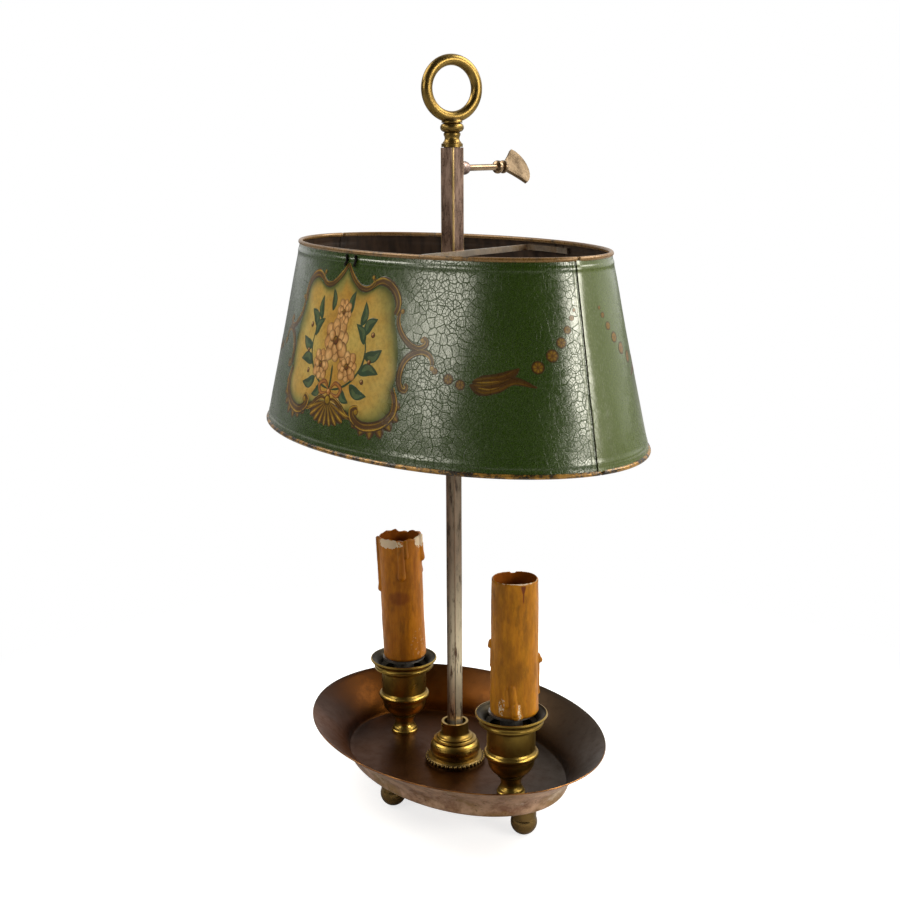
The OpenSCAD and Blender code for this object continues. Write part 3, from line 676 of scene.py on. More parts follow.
def shade_half(name, start, node, outside, inside):
    """One half of the shade's wall, from its lapped edge to the edge under the other lap."""
    steps = 150
    lap_ramp = 0.3
    under = start + 180
    ramp = (0, 0.1, 0.3, 0.5, 0.7, 0.9, 1.1, 1.3, 1.5, 1.7, 1.9, 2.1)
    stops = [(start + LAP_TURN * k, LAP_STEP * (1 - float(smooth(k, 0.1, 2.2)))) for k in ramp]
    ramp_end, plain = start + LAP_TURN * 2.3, 180 - LAP_TURN * 1.3 - 2 * lap_ramp
    stops += [(ramp_end + plain * i / steps, 0.0) for i in range(steps + 1)]
    stops = [(t, out) for t, out in stops if not under - 3.4 < t < under - 0.1]
    stops += [(under - away, 0.0) for away in (3.3, 3.0, 2.7, 2.4, 2.0, 1.6, 1.2, 0.9, 0.6, 0.3)]
    stops = sorted((t, out + solder_ridge(under - t)) for t, out in stops)
    rows = wall_rows()
    outer = [on_shade(t, z, swell + out) for t, out in stops for z, swell in rows]
    inner = [on_shade(t, z, swell + out - TIN) for t, out in stops for z, swell in rows]
    count, height = len(stops), len(rows)
    base = count * height
    worn = [min(1.0, 4.5 * solder_ridge(under - t) + 0.8 * out) for t, out in stops for _ in rows]
    faces = grid_faces(count, height) + grid_faces(count, height, base, flip=True)
    parts = [0] * (len(faces) // 2) + [1] * (len(faces) // 2)
    edges = []
    for i in range(count - 1):
        a, b = i * height, (i + 1) * height
        edges.append([a, b, base + b, base + a])
        edges.append([a + height - 1, base + a + height - 1, base + b + height - 1, b + height - 1])
    for k in range(height - 1):
        e = (count - 1) * height + k
        edges.append([k, base + k, base + k + 1, k + 1])
        edges.append([e, e + 1, base + e + 1, base + e])
    faces = [f[::-1] for f in faces] + edges
    parts += [1] * len(edges)
    tints = {"worn": worn + [0.0] * len(inner)}
    points, materials = outer + inner, [outside, inside]
    crisp_edges(
        piece(name, points, faces, materials, "shade_carriage", [node], parts, tints)
    )


def crisp_edges(obj, degrees=40):
    """Keeps a solid's sharp edges sharp while the rest is smooth."""
    obj.data.set_sharp_from_angle(angle=math.radians(degrees))


def roll(name, z, node, material):
    """Rolled edge in two halves that stop short of each seam."""
    steps, sides = 160, 14
    for half in (0, 1):
        start = SEAM_TURN + ROLL_TURN + 180 * half + ROLL_GAP
        loops = []
        for i in range(steps + 1):
            t = math.radians(start + (180 - 2 * ROLL_GAP) * i / steps)
            a, b = half_axes(z)
            out = Vector((b * math.cos(t), a * math.sin(t))).normalized()
            middle = Vector(on_shade(math.degrees(t), z, -TIN / 2))
            loops.append([
                middle + ROLL_R * Vector((out.x * math.cos(u), out.y * math.cos(u), math.sin(u)))
                for u in (v + math.pi / sides for v in turns(sides))
            ])
        points, faces = sweep([loop[::-1] for loop in loops])
        nodes = [node] if half == 0 else []
        piece(f"{name}_{half + 1}", points, faces, [material], "shade_carriage", nodes)


def ties(material):
    """Twists of iron wire that hold the strip's ends: bowed bars outside, legs through the tin."""
    sides, steps = 8, 16
    play, bulge, stand_off, leg = 0.1, 1.5, 0.35, 0.4
    low, high = STRIP_Z - WIRE_R - play, STRIP_Z + STRIP_H + WIRE_R + play
    points, faces = [], []
    for x, side in [(x, -1) for x in FRONT_TIES] + [(x, 1) for x in BACK_TIES]:
        bow = [(math.pi * k / steps, lerp(low, high, k / steps)) for k in range(steps + 1)]
        bow = [(x + bulge * math.sin(w), z, WIRE_R + stand_off) for w, z in bow]
        line = [(x, low, -TIN - leg), *bow, (x, high, -TIN - leg)]
        path = [Vector(tin_at(*p, side)) for p in line]
        loops = []
        for i, p in enumerate(path):
            along = (path[min(i + 1, len(path) - 1)] - path[max(i - 1, 0)]).normalized()
            first = along.cross(Vector((0, side, 0.3))).normalized()
            second = along.cross(first)
            spokes = (polar(WIRE_R, u + math.pi / sides) for u in turns(sides))
            loops.append([p + first * x + second * y for x, y in spokes])
        more, quads = sweep(loops)
        faces += [[len(points) + i for i in face] for face in quads]
        points += more
    piece("tie_wires", points, faces, [material], "shade_carriage", ["carrier_ties"])


def tin_at(x, z, out, side):
    """Point of the tin's surface at x and height z, moved out by some millimetres."""
    a, b = half_axes(z)
    across = (x - SHADE_SHIFT[0]) / (a + out)
    return x, SHADE_SHIFT[1] + side * (b + out) * math.sqrt(1 - across * across), z


# ------------------------------------------------------------------ painted ornament
#
# Ornament is drawn flat: u runs round the shade from the middle of its front, v upwards from
# its lower edge, and each stroke is a thin solid of paint that is then bent on to the tin.

ARC_ANGLES = np.radians(np.arange(-270, 271, 0.25))
ARC_A, ARC_B = half_axes(SHADE_LOW_Z + SHADE_H / 2)
ARC_STEPS = np.hypot(ARC_A * np.sin(ARC_ANGLES), ARC_B * np.cos(ARC_ANGLES)) * math.radians(0.25)
ARC_LENGTHS = np.cumsum(ARC_STEPS) - np.interp(math.radians(-90), ARC_ANGLES, np.cumsum(ARC_STEPS))
HALF_ROUND = float(np.interp(math.radians(90), ARC_ANGLES, ARC_LENGTHS))
BURIED = -0.06

GOLD = (0.3, 0.175, 0.012)
BRIGHT_GOLD = (0.5, 0.3, 0.035)
RED_BROWN = (0.1, 0.046, 0.012)
DARK_BROWN = (0.045, 0.022, 0.006)
HUSK = ((0.075, 0.032, 0.004), (0.15, 0.08, 0.007), (0.26, 0.15, 0.015))
CREAM = (0.6, 0.42, 0.1)
OCHRE = (0.52, 0.3, 0.055)
CREAM_GREEN = (0.3, 0.26, 0.06)
SHADE_GREEN = (0.08, 0.1, 0.018)
TEAL = (0.036, 0.075, 0.036)
TEAL_LIGHT = (0.09, 0.14, 0.06)
PEACH = (0.46, 0.2, 0.05)
PALE_PEACH = (0.84, 0.5, 0.2)
ROSE = (0.16, 0.055, 0.016)
# How far the cartouches are from the middle of the front and of the back, going round to the right
CENTRE = 5.5


class Drawing:
    """Strokes and patches of paint on the flattened shade, gathered into one piece."""

    def __init__(self):
        self.points, self.faces, self.tints = [], [], []

    def add(self, points, faces, tints):
        start = len(self.points)
        self.points += points
        self.faces += [[start + i for i in face] for face in faces]
        self.tints += tints

    def stroke(self, path, width, lift, tint, edge=None, tip=0.15, tail=0.15, leafy=False):
        """Brush stroke along a path, of full width between tapered ends, or shaped like a leaf."""
        line = curve(path)
        count = len(line)
        along = np.linspace(0, 1, count)
        swell = (np.minimum(1, along / tip) * np.minimum(1, (1 - along) / tail)) ** 0.6
        if leafy:
            swell = np.sin(math.pi * along**0.8) ** 0.85
        half = width / 2 * np.maximum(swell, 0.03 if leafy else 0.12)
        across = ((-1, BURIED), (-0.86, 1), (0, 1), (0.86, 1), (1, BURIED))
        points, tints = [], []
        for i in range(count):
            ahead = line[min(i + 1, count - 1)] - line[max(i - 1, 0)]
            side = np.array([-ahead[1], ahead[0]]) / (np.linalg.norm(ahead) + 1e-9)
            for s, h in across:
                u, v = line[i] + side * half[i] * s
                points.append((u, v, h if h < 0 else lift * h))
                tints.append(edge if edge and abs(s) > 0.7 else tint)
        faces = grid_faces(count, 5)
        faces += [[i * 5 + 4, i * 5, (i + 1) * 5, (i + 1) * 5 + 4][::-1] for i in range(count - 1)]
        faces += [[4, 3, 2, 1, 0], [(count - 1) * 5 + k for k in range(5)]]
        self.add(points, [f[::-1] for f in faces], tints)

    def patch(self, outline, centre, lift, tint_at, rings=6):
        """Filled star-shaped patch. tint_at(k, angle) is its colour k of the way out."""
        count = len(outline)
        centre = np.array(centre, float)
        points, tints = [(*centre, lift)], [tint_at(0, 0)]
        shares = [(j + 1) / rings for j in range(rings)]
        for k, out in [(k, lift) for k in shares] + [(k, BURIED) for k in reversed(shares)]:
            for i, p in enumerate(outline):
                u, v = centre + (np.array(p) - centre) * k
                points.append((u, v, out))
                tints.append(tint_at(k, 2 * math.pi * i / count))
        faces = [[0, 1 + i, 1 + (i + 1) % count] for i in range(count)]
        faces += grid_faces(2 * rings, count, 1, closed=True, flip=True)
        last = 1 + (2 * rings - 1) * count
        points.append((*centre, BURIED))
        tints.append(tint_at(0, 0))
        faces += [[len(points) - 1, last + (i + 1) % count, last + i] for i in range(count)]
        self.add(points, faces, tints)

    def disc(self, u, v, radius, lift, tint, rim, glint, rays=0):
        """Painted bead with a dark outline, lit from the upper left or rayed like a flower."""
        lit_from = math.radians(130)
        outline = [polar(radius, w, u, v) for w in turns(24)]

        def tint_at(k, angle):
            lit = max(0.0, math.cos(angle - lit_from)) * (1 - abs(k - 0.5) * 2)
            if rays:
                lit = (0.5 + 0.5 * math.cos(rays * angle + u)) * float(smooth(k, 0.15, 0.4))
            colour = blended(tint, glint, min(1.0, 1.1 * lit))
            return blended(colour, rim, float(smooth(k, 0.62, 0.88)))

        self.patch(outline, (u, v), lift, tint_at, rings=7)

    def leaf(self, base, tip, width, lift, dark, light, bend=0.18):
        """Leaf between two points, bent to one side, with a lighter half."""
        base, tip = np.array(base, float), np.array(tip, float)
        along = tip - base
        side = np.array([-along[1], along[0]]) * bend
        middle = (base + tip) / 2 + side
        self.stroke([base, middle, tip], width, lift, dark, leafy=True)
        inner = side / (np.linalg.norm(side) + 1e-9) * width * 0.16
        start, end = lerp(base, tip, 0.2) + inner, lerp(base, tip, 0.86) + inner * 0.4
        self.stroke([start, middle + inner, end], width * 0.42, lift + 0.03, light, leafy=True)

    def make(self, name, material, round_from, mirrored=False):
        """Bends the drawing on to the tin, with u counted from round_from."""
        sign = -1 if mirrored else 1
        points = []
        for u, v, out in self.points:
            t = np.interp(round_from + sign * u, ARC_LENGTHS, ARC_ANGLES)
            points.append(on_shade(math.degrees(t), SHADE_LOW_Z + v, out))
        faces = [f[::-1] for f in self.faces] if mirrored else self.faces
        tints = {"tint": [(*tint, 1.0) for tint in self.tints]}
        made = piece(name, points, faces, [material], "shade_carriage", tints=tints)
        crisp_edges(made, degrees=12)


def blended(a, b, t):
    return tuple(lerp(x, y, t) for x, y in zip(a, b))


def curve(path, per=7):
    """Smooth line through a path's points."""
    p = np.array(path, float)
    p = np.vstack([2 * p[0] - p[1], p, 2 * p[-1] - p[-2]])
    line = []
    for i in range(1, len(p) - 2):
        for k in range(per):
            t = k / per
            a, b, c, d = p[i - 1], p[i], p[i + 1], p[i + 2]
            square, cube = (2 * a - 5 * b + 4 * c - d) * t**2, (3 * b - a - 3 * c + d) * t**3
            line.append(0.5 * (2 * b + (c - a) * t + square + cube))
    line.append(p[-2])
    return np.array(line)


def mirrored_path(path):
    return [(-u, v) for u, v in path]


# The frame's right half, from the crest down to the shell
CREST = [
    (0, 107.4), (2.5, 104.6), (5.6, 101.6), (10.2, 98), (15.4, 95.3), (21.4, 94.8),
    (26.2, 96.6), (28.2, 99.4), (26.6, 101.6),
]
SHOULDER = [
    (27, 96.8), (31, 99), (35.5, 100), (41.3, 98.6), (46.3, 95), (49.2, 90.4), (49.4, 86.4),
    (47.4, 82.4),
]
SIDE_S = [
    (52.2, 85.8), (50.8, 82.6), (51, 78.4), (53.2, 74), (56.9, 70), (61.5, 66.8), (66.7, 65.6),
    (70.9, 67), (72.1, 69.6), (70, 71.2), (68.2, 70),
]
SIDE_C = [
    (76.8, 56.4), (76.4, 60), (74, 62.8), (69.4, 64), (64.7, 63), (60.2, 60.2), (57.1, 56.2),
    (55.6, 51.2), (55.6, 46.8), (57.5, 43), (60.4, 42.4), (61.2, 44.8), (59.4, 46),
]
LOW_SHOULDER = [
    (50.8, 42.6), (53.2, 38), (54.2, 33.4), (53.2, 28.8), (50, 24.8), (45.2, 21.8), (39.4, 20),
    (33, 19.4), (27.6, 20.8), (23.8, 23.8), (23, 27), (26, 28.2), (27.2, 26),
]
PANEL_EDGE = [
    (0, 104.4), (3, 101.4), (6.2, 98.6), (10.5, 95.6), (15.6, 93.2), (21.6, 92.8), (27.6, 94.8),
    (33, 97.2), (38.5, 96.6), (43.6, 93.6), (46.6, 89), (47.2, 83), (48.6, 77.4), (50.8, 71.6),
    (52.2, 66), (53, 60), (53.2, 54), (52.8, 48), (51.4, 42), (52.2, 36), (51, 29.8),
    (46.6, 25), (40, 22.2), (33, 21.4), (27.6, 23), (24.4, 25.8), (19, 25.6), (12, 24.4),
    (5, 26.4), (0, 27.4),
]
PANEL_MIDDLE = (0, 57)


def panel(drawing):
    """Cream ground, more ochre here and there, with a greenish edge."""
    right = curve(PANEL_EDGE, 5)
    outline = [tuple(p) for p in right] + [(-u, v) for u, v in right[-2:0:-1]]

    def tint_at(k, angle):
        ground = blended(CREAM, OCHRE, 0.5 + 0.5 * math.sin(2 * angle + 2.4 * k))
        sway = 0.04 * math.sin(5 * angle + 1) + 0.02 * math.sin(11 * angle)
        edge = blended(CREAM_GREEN, SHADE_GREEN, float(smooth(k, 0.9, 1.0)))
        return blended(ground, edge, float(smooth(k + sway, 0.78, 0.97)))

    drawing.patch(outline[::-1], PANEL_MIDDLE, 0.04, tint_at, rings=40)


def beside(path, away):
    """The path moved to its left by some millimetres."""
    p = np.array(path, float)
    ahead = np.gradient(p, axis=0)
    ahead /= np.linalg.norm(ahead, axis=1)[:, None] + 1e-9
    return [tuple(q) for q in p + away * np.stack([-ahead[:, 1], ahead[:, 0]], 1)]


def scroll(drawing, path, width, lift=0.06):
    """One scroll of the frame: a brown body with gold strokes along it that come and go."""
    drawing.stroke(path, width * 1.15, lift, RED_BROWN, DARK_BROWN, tip=0.3, tail=0.25)
    pieces = max(2, len(path) // 4)
    for i in range(pieces):
        first, last = i * (len(path) - 1) // pieces, (i + 1) * (len(path) - 1) // pieces
        span = path[first:last + 1]
        for away, share in ((0.28, 0.42), (-0.22, 0.26)):
            line = beside(span, away * width)
            drawing.stroke(line, width * share, lift + 0.03, GOLD, RED_BROWN, tip=0.6, tail=0.5)
        line = beside(span, 0.32 * width)
        drawing.stroke(line, width * 0.16, lift + 0.05, BRIGHT_GOLD, tip=0.6, tail=0.6)


def lobe(drawing, start, angle, length, width=4.4):
    """Rounded leaf lobe on the outside of a scroll: gold, with a brown edge."""
    end = polar(length, math.radians(angle), *start)
    drawing.stroke([start, end], width, 0.035, RED_BROWN, DARK_BROWN, tip=0.1, tail=0.5)
    short = polar(0.86 * length, math.radians(angle), *start)
    drawing.stroke([start, short], width * 0.62, 0.047, GOLD, RED_BROWN, tip=0.1, tail=0.5)


# Where each lobe starts, the way it points and its length
LOBES = (
    ((53.6, 34), -14, 5.0), ((52.8, 28.6), -34, 6.0), ((49.6, 24.6), -52, 6.6),
    ((44.8, 21.6), -70, 7.4), ((39, 20), -90, 7.0), ((33, 19.6), -108, 5.6),
    ((27, 21), -130, 4.0), ((43, 97.8), 52, 3.0), ((48.6, 91.6), 12, 2.6),
)
SCROLLS = ((CREST, 3.4), (SHOULDER, 5.0), (SIDE_S, 3.6), (SIDE_C, 4.0), (LOW_SHOULDER, 5.6))
KNOBS = (
    (53.4, 84.6, 1.5), (76.8, 55.6, 1.6), (26.4, 101.4, 1.4), (69.2, 70, 1.5), (26.4, 26.6, 1.9),
)


def cartouche_frame(drawing):
    for s in (1, -1):
        for (u, v), angle, length in LOBES:
            width = 3.2 if v > PANEL_MIDDLE[1] else 7.6
            lobe(drawing, (s * u, v), angle if s > 0 else 180 - angle, length, width)
        for path, width in SCROLLS:
            scroll(drawing, path if s > 0 else mirrored_path(path)[::-1], width)
        for u, v, radius in KNOBS:
            drawing.disc(s * u, v, radius, 0.13, GOLD, RED_BROWN, BRIGHT_GOLD)


def shell(drawing):
    """Fan of broad gold ribs below the panel, between two scrolls."""
    ribs, spread, root = 9, 66, 29.5
    for i in range(ribs):
        a = math.radians(-90 + lerp(-spread, spread, i / (ribs - 1)))
        reach = 17 - 2.5 * math.cos(a + math.pi / 2) ** 2
        line = [(k * 1.35 * math.cos(a), root + k * math.sin(a)) for k in (2, reach * 0.6, reach)]
        drawing.stroke(line, 6.4, 0.07, RED_BROWN, DARK_BROWN, tip=0.9, tail=0.16)
        drawing.stroke(line, 4.0, 0.1, GOLD, RED_BROWN, tip=0.9, tail=0.2)
        glint = [line[1], lerp(np.array(line[1]), np.array(line[2]), 0.9)]
        drawing.stroke(glint, 0.9, 0.13, BRIGHT_GOLD, tip=0.5, tail=0.5)
    for s in (-1, 1):
        brow = [(1.5, 30.5), (7, 30.6), (13, 27.6), (18, 23.4), (22.6, 22)]
        scroll(drawing, [(s * u, v) for u, v in brow], 3.0, 0.09)
    drawing.disc(0, 30, 3.0, 0.14, GOLD, DARK_BROWN, BRIGHT_GOLD)


def petals(drawing, u, v, count, turn, reach, long, wide, lift):
    """Ring of overlapping petals, pale at their tips and darker towards the middle."""
    for i in range(count):
        a = math.radians(turn + 360 * i / count)
        away = reach * (1 + 0.1 * math.sin(3 * i + turn))
        middle = polar(away, a, u, v)
        outline = []
        for w in turns(18):
            x, y = long * math.cos(w) * (1 - 0.14 * abs(math.sin(w))), wide * math.sin(w)
            outline.append(polar(x, a, *polar(y, a + math.pi / 2, *middle)))

        def tint_at(k, angle, i=i):
            inward = 0.5 - 0.5 * math.cos(angle)
            shade = 0.5 + 0.5 * math.sin(angle + 2.1 * i)
            colour = blended(PALE_PEACH, PEACH, min(1.0, 0.5 * shade + 0.8 * inward * k))
            colour = blended(colour, ROSE, 0.85 * inward * float(smooth(k, 0.25, 0.9)))
            rim = (0.65 + 0.35 * inward) * float(smooth(k, 0.74, 0.95))
            return blended(colour, RED_BROWN, rim)

        drawing.patch(outline, middle, lift + 0.012 * (i % 3), tint_at)


def blossom(drawing, u, v, size, turn, lift=0.14):
    """Open double flower seen from the front."""
    petals(drawing, u, v, 8, turn, 0.6 * size, 0.42 * size, 0.36 * size, lift)
    petals(drawing, u, v, 6, turn + 20, 0.34 * size, 0.32 * size, 0.26 * size, lift + 0.05)
    drawing.disc(u, v, size * 0.2, lift + 0.11, ROSE, DARK_BROWN, GOLD)
    for i in range(7):
        stamen = polar(0.22 * size, math.radians(turn + 51 * i), u, v)
        drawing.disc(*stamen, 0.3, lift + 0.12, BRIGHT_GOLD, ROSE, BRIGHT_GOLD)


# Base, tip, width and bend of each leaf on the right branch; the left one mirrors it
LEAVES = (
    ((10, 38), (19, 30.5), 6.4, -0.16), ((18, 41), (33, 36), 7.4, -0.14),
    ((24, 48), (40, 49), 7.8, 0.14), ((27, 58), (41, 62.5), 7.6, -0.14),
    ((26, 64), (17, 75), 6.4, -0.14), ((25, 69), (35, 79), 7.4, 0.14),
    ((21, 74), (23, 88), 6.8, -0.12), ((10, 80), (12, 93), 6.2, 0.12),
)
BERRIES = ((32.5, 70, 1.6), (32, 55, 1.5), (28, 43.5, 1.5))
# Place, size and turn of each blossom
BLOSSOMS = ((13.5, 50.5, 9.4, 5), (-13.5, 49, 9.4, 40), (3, 80.5, 7.8, 80), (-1, 64, 13.2, 12))


def spray(drawing):
    """Two leafy branches tied with a ribbon, with open blossoms and berries between them."""
    for s in (-1, 1):
        branch = [(1.5, 36), (10, 38), (20, 44), (27, 54), (27, 65), (21, 74)]
        drawing.stroke([(s * u, v) for u, v in branch], 1.5, 0.12, TEAL, tip=0.1, tail=0.4)
        for (u0, v0), (u1, v1), width, bend in LEAVES:
            drawing.leaf((s * u0, v0), (s * u1, v1), width, 0.09, TEAL, TEAL_LIGHT, s * bend)
        for u, v, r in BERRIES:
            drawing.disc(s * u, v, r, 0.12, ROSE, DARK_BROWN, PALE_PEACH)
    for u, v, size, turn in BLOSSOMS:
        blossom(drawing, u, v, size, turn)
    drawing.stroke([(-0.5, 36), (0, 42), (-0.5, 50)], 1.8, 0.1, TEAL)
    for s in (-1, 1):
        bow = [(0, 35), (s * 5, 40), (s * 11, 37.5), (s * 8, 33), (s * 1, 34.6)]
        drawing.stroke(bow, 2.8, 0.2, PEACH, ROSE, tip=0.3, tail=0.3)
    drawing.disc(0, 34.6, 2.0, 0.28, PEACH, ROSE, PALE_PEACH)


# How far round from the cartouche's middle the right swag starts and ends, and the left one ends
SWAG_START, SWAG_END, LEFT_SWAG_END = 78.6, 159.2, 175.6


def garland(drawing, far):
    """Swag of painted beads with a husk between them, from the frame to far round the shade."""
    stretch = (far - SWAG_START) / (SWAG_END - SWAG_START)

    def along(u):
        return SWAG_START + (u - SWAG_START) * stretch

    beads = (
        (78.6, 54.3, 2.0), (87.1, 50.7, 3.1), (94.1, 48.2, 2.9), (136.4, 58.5, 3.5),
        (144.4, 64.5, 3.5), (150.0, 71.2, 3.0), (154.0, 77.8, 2.3), (157.2, 83.9, 1.6),
        (159.2, 88.0, 1.1),
    )
    for u, v, radius in beads:
        drawing.disc(along(u), v, radius, 0.07, RED_BROWN, DARK_BROWN, GOLD, rays=7)
    body, gold, bright = HUSK
    husk = (
        ([(99.5, 48.5), (106, 46.5), (114, 48), (123, 51.5), (135.5, 48)], 7.4, body, DARK_BROWN),
        ([(101, 50), (108, 51), (116, 52.4), (123, 55.3), (126.5, 58)], 6.4, body, DARK_BROWN),
        ([(101.5, 51.2), (109, 52.4), (117, 53.6), (124, 57)], 1.7, gold, body),
        ([(101, 48.6), (107, 48.6), (115, 50.4), (122, 52.8)], 1.6, gold, body),
        ([(102.5, 46), (108, 44.8), (115, 46.4), (124, 50.2), (132.5, 48.6)], 1.9, gold, body),
        ([(103, 49.9), (110, 50.3), (117, 51.4)], 0.9, bright, None),
        ([(104, 47.2), (110, 46.6), (116, 48)], 0.8, bright, None),
    )
    for k, (path, width, tint, edge) in enumerate(husk):
        path = [(along(u), v) for u, v in path]
        drawing.stroke(path, width, 0.05 + 0.012 * k, tint, edge, tip=0.2, tail=0.45)


def ornament(material):
    """The painted cartouche and swags, on the front and again on the back half."""
    draws = {"panel": panel, "frame": cartouche_frame, "shell": shell, "spray": spray}
    for side, middle in (("front", CENTRE), ("back", HALF_ROUND + CENTRE)):
        for title, draw in draws.items():
            drawing = Drawing()
            draw(drawing)
            drawing.make(f"{title}_{side}", material, middle)
        for title, far, mirrored in (("right", SWAG_END, False), ("left", LEFT_SWAG_END, True)):
            drawing = Drawing()
            garland(drawing, far)
            drawing.make(f"garland_{side}_{title}", material, middle, mirrored)


# ------------------------------------------------------------------ candle tubes


class Drip:
    """Run of wax down a tube: where round it, its top and its end, its width and thickness."""

    def __init__(self, degrees, top, end, width, thick, bulb=1.25, sway=0.0):
        self.angle = math.radians(degrees)
        self.top, self.end, self.width, self.thick = top, end, width, thick
        self.bulb, self.sway = bulb, sway

    def height(self, angle, z, radius):
        turn = self.angle + self.sway * (self.top - z) / radius
        across = ((angle - turn + math.pi) % (2 * math.pi) - math.pi) * radius
        past = np.maximum(0, np.maximum(z - self.top, self.end - z))
        near_end = 1 - smooth(z, self.end, self.end + 2.5 * self.width)
        width = self.width * (1 + (self.bulb - 1) * near_end)
        inside = 1 - (across**2 + past**2) / width**2
        return self.thick * (1 + 0.35 * near_end) * np.clip(inside, 0, 1) ** 0.55


def candle(name, node, place, radii, drips, rim_dip, marks, materials):
    """Candle tube with its drips: rows go up the outside, over the rim and down the bore.

    radii are those of its top and base, and marks say how chipped and how stained a point is; on
    the right tube the chip mark also holds a painted highlight.
    """
    sides, rows, bore_rows = 220, 190, 12
    rim_round, rim_wear, foot_round, chip_depth = 0.25, 0.9, 0.7, 0.3
    angle = np.array(turns(sides))
    rim = TUBE_H - rim_dip(angle)
    runs = [Drip(*values) for values in drips]
    chip_at, stain_at = marks
    points, chips, stains = [], [], []

    def ring(radius, z, chip, stain):
        points.extend(place @ Vector((*polar(r, w), h)) for r, w, h in zip(radius, angle, z))
        chips.extend(chip)
        stains.extend(stain)

    none = np.zeros(sides)
    for j in range(rows + 1):
        share = j / rows
        z = share * rim
        radius = lerp(radii[1], radii[0], share) + none
        radius -= foot_round * (1 - smooth(z, 0, 2 * foot_round))
        for drip in runs:
            radius = radius + drip.height(angle, z, radii[1])
        for i in range(sides):
            spot_here = Vector((*polar(1.7, angle[i]), z[i] * 0.06 + len(name)))
            radius[i] += 0.3 * noise.noise(spot_here) + 0.1 * noise.noise(spot_here * 4)
        chip = chip_at(angle, z)
        radius = radius - chip_depth * smooth(chip, 0.35, 0.6)
        radius = radius - rim_wear * smooth(z, rim - rim_wear, rim + 0.05)
        ring(np.maximum(radius, TUBE_BORE_R + 0.5), z, chip, stain_at(angle, z))
    for k in range(bore_rows + 1):
        bore = none + TUBE_BORE_R + (rim_round if k == 0 else 0)
        ring(bore, lerp(rim - rim_round, 0.0, k / bore_rows), none, none)
    total = rows + bore_rows + 2
    faces = grid_faces(total, sides, closed=True)
    last = (total - 1) * sides
    faces += [[last + i, last + (i + 1) % sides, (i + 1) % sides, i] for i in range(sides)]
    outer_faces = (rows + 1) * sides
    parts = [0] * outer_faces + [1] * (len(faces) - outer_faces)
    tints = {"chip": chips, "stain": stains}
    piece(name, points, faces, materials, "base", [node], parts, tints)


def spot(angle, z, degrees, height, reach_round, reach_up):
    """1 in the middle of a patch on a tube, fading to 0 at its edge."""
    across = (angle - math.radians(degrees) + math.pi) % (2 * math.pi) - math.pi
    away = np.sqrt((across / math.radians(reach_round)) ** 2 + ((z - height) / reach_up) ** 2)
    return 1 - smooth(away, 0.5, 1.0)


# Directions round a tube, as the camera sees them
FACING = math.degrees(CAMERA_AZIMUTH)
TO_RIGHT = FACING + 90
TO_LEFT = FACING - 90

# Values of each Drip, as its class takes them
RIGHT_DRIPS = (
    (TO_LEFT - 4, 45, 42.5, 1.6, 1.5), (TO_LEFT + 2, 44, 30, 0.8, 0.5, 1.0),
    (TO_RIGHT + 2, 36, 33, 1.5, 1.4), (TO_RIGHT, 34, 12, 1.0, 0.8, 1.0),
    (FACING - 22, 19, 9, 1.5, 0.8), (FACING - 8, 20, 5, 2.1, 1.3, 1.15, 0.12),
    (FACING + 2, 8, 1.5, 2.6, 1.5, 1.3, 0.1), (FACING + 160, 84, 50, 2.2, 1.6),
    (FACING + 130, 84, 68, 1.8, 1.4), (FACING + 195, 84, 62, 1.7, 1.5),
)
LEFT_DRIPS = (
    (TO_LEFT + 8, 86, 49, 1.7, 1.3), (FACING + 4, 86, 60, 2.2, 1.9),
    (FACING + 18, 86, 74, 1.3, 0.9), (TO_RIGHT - 10, 86, 70, 2.1, 1.7),
    (TO_RIGHT + 30, 86, 58, 1.9, 1.5), (FACING + 165, 86, 52, 2.0, 1.6),
    (FACING + 215, 86, 66, 1.9, 1.4),
)


def right_rim(angle):
    return 0.35 + 0.25 * np.sin(3 * angle) + 0.8 * spot(angle, 0 * angle, FACING + 183, 0, 9, 1)


def left_rim(angle):
    ragged = 0.5 * np.sin(5 * angle + 1) * np.sin(2 * angle) + 0.25 * np.sin(13 * angle)
    return 0.9 + ragged + 1.6 * spot(angle, 0 * angle, FACING + 172, 0, 22, 1)


def right_chips_and_glint(angle, z):
    rim = 0.32 * smooth(z, TUBE_H - 1.1, TUBE_H - 0.5)
    # Painted highlight: a pale spot on the right edge of the drip at the tube's foot, also dented
    # like a chip
    low = 0.5 * spot(angle, z, FACING + 8, 5, 5, 8)
    return rim + low + 0.2 * spot(angle, z, FACING - 34, 8, 12, 8)


def left_chips(angle, z):
    under_rim = spot(angle, z, FACING - 30, TUBE_H - 3.6, 44, 3.6)
    at_right = spot(angle, z, TO_RIGHT - 22, TUBE_H - 3.5, 26, 5.5)
    flecks = 0.06 * spot(angle, z, FACING + 50, 8, 44, 22)
    return np.maximum.reduce([under_rim, at_right, flecks])


def right_stains(angle, z):
    """A dark run down from the rim that ends in a point."""
    tip, middle, mean_radius = TUBE_H - 2, math.radians(FACING + 19), 14.4
    across = np.abs((angle - middle + math.pi) % (2 * math.pi) - math.pi) * mean_radius
    width = 0.35 + 1.6 * smooth(z, tip - 6, tip)
    along = smooth(z, tip - 11, tip - 9) * (1 - smooth(z, tip, tip + 1))
    return 0.9 * (1 - smooth(across, width * 0.6, width)) * along


def left_stains(angle, z):
    band = 0.5 * spot(angle, z, FACING - 5, 45, 40, 6)
    return band + 0.35 * spot(angle, z, FACING + 42, 62, 6, 16)


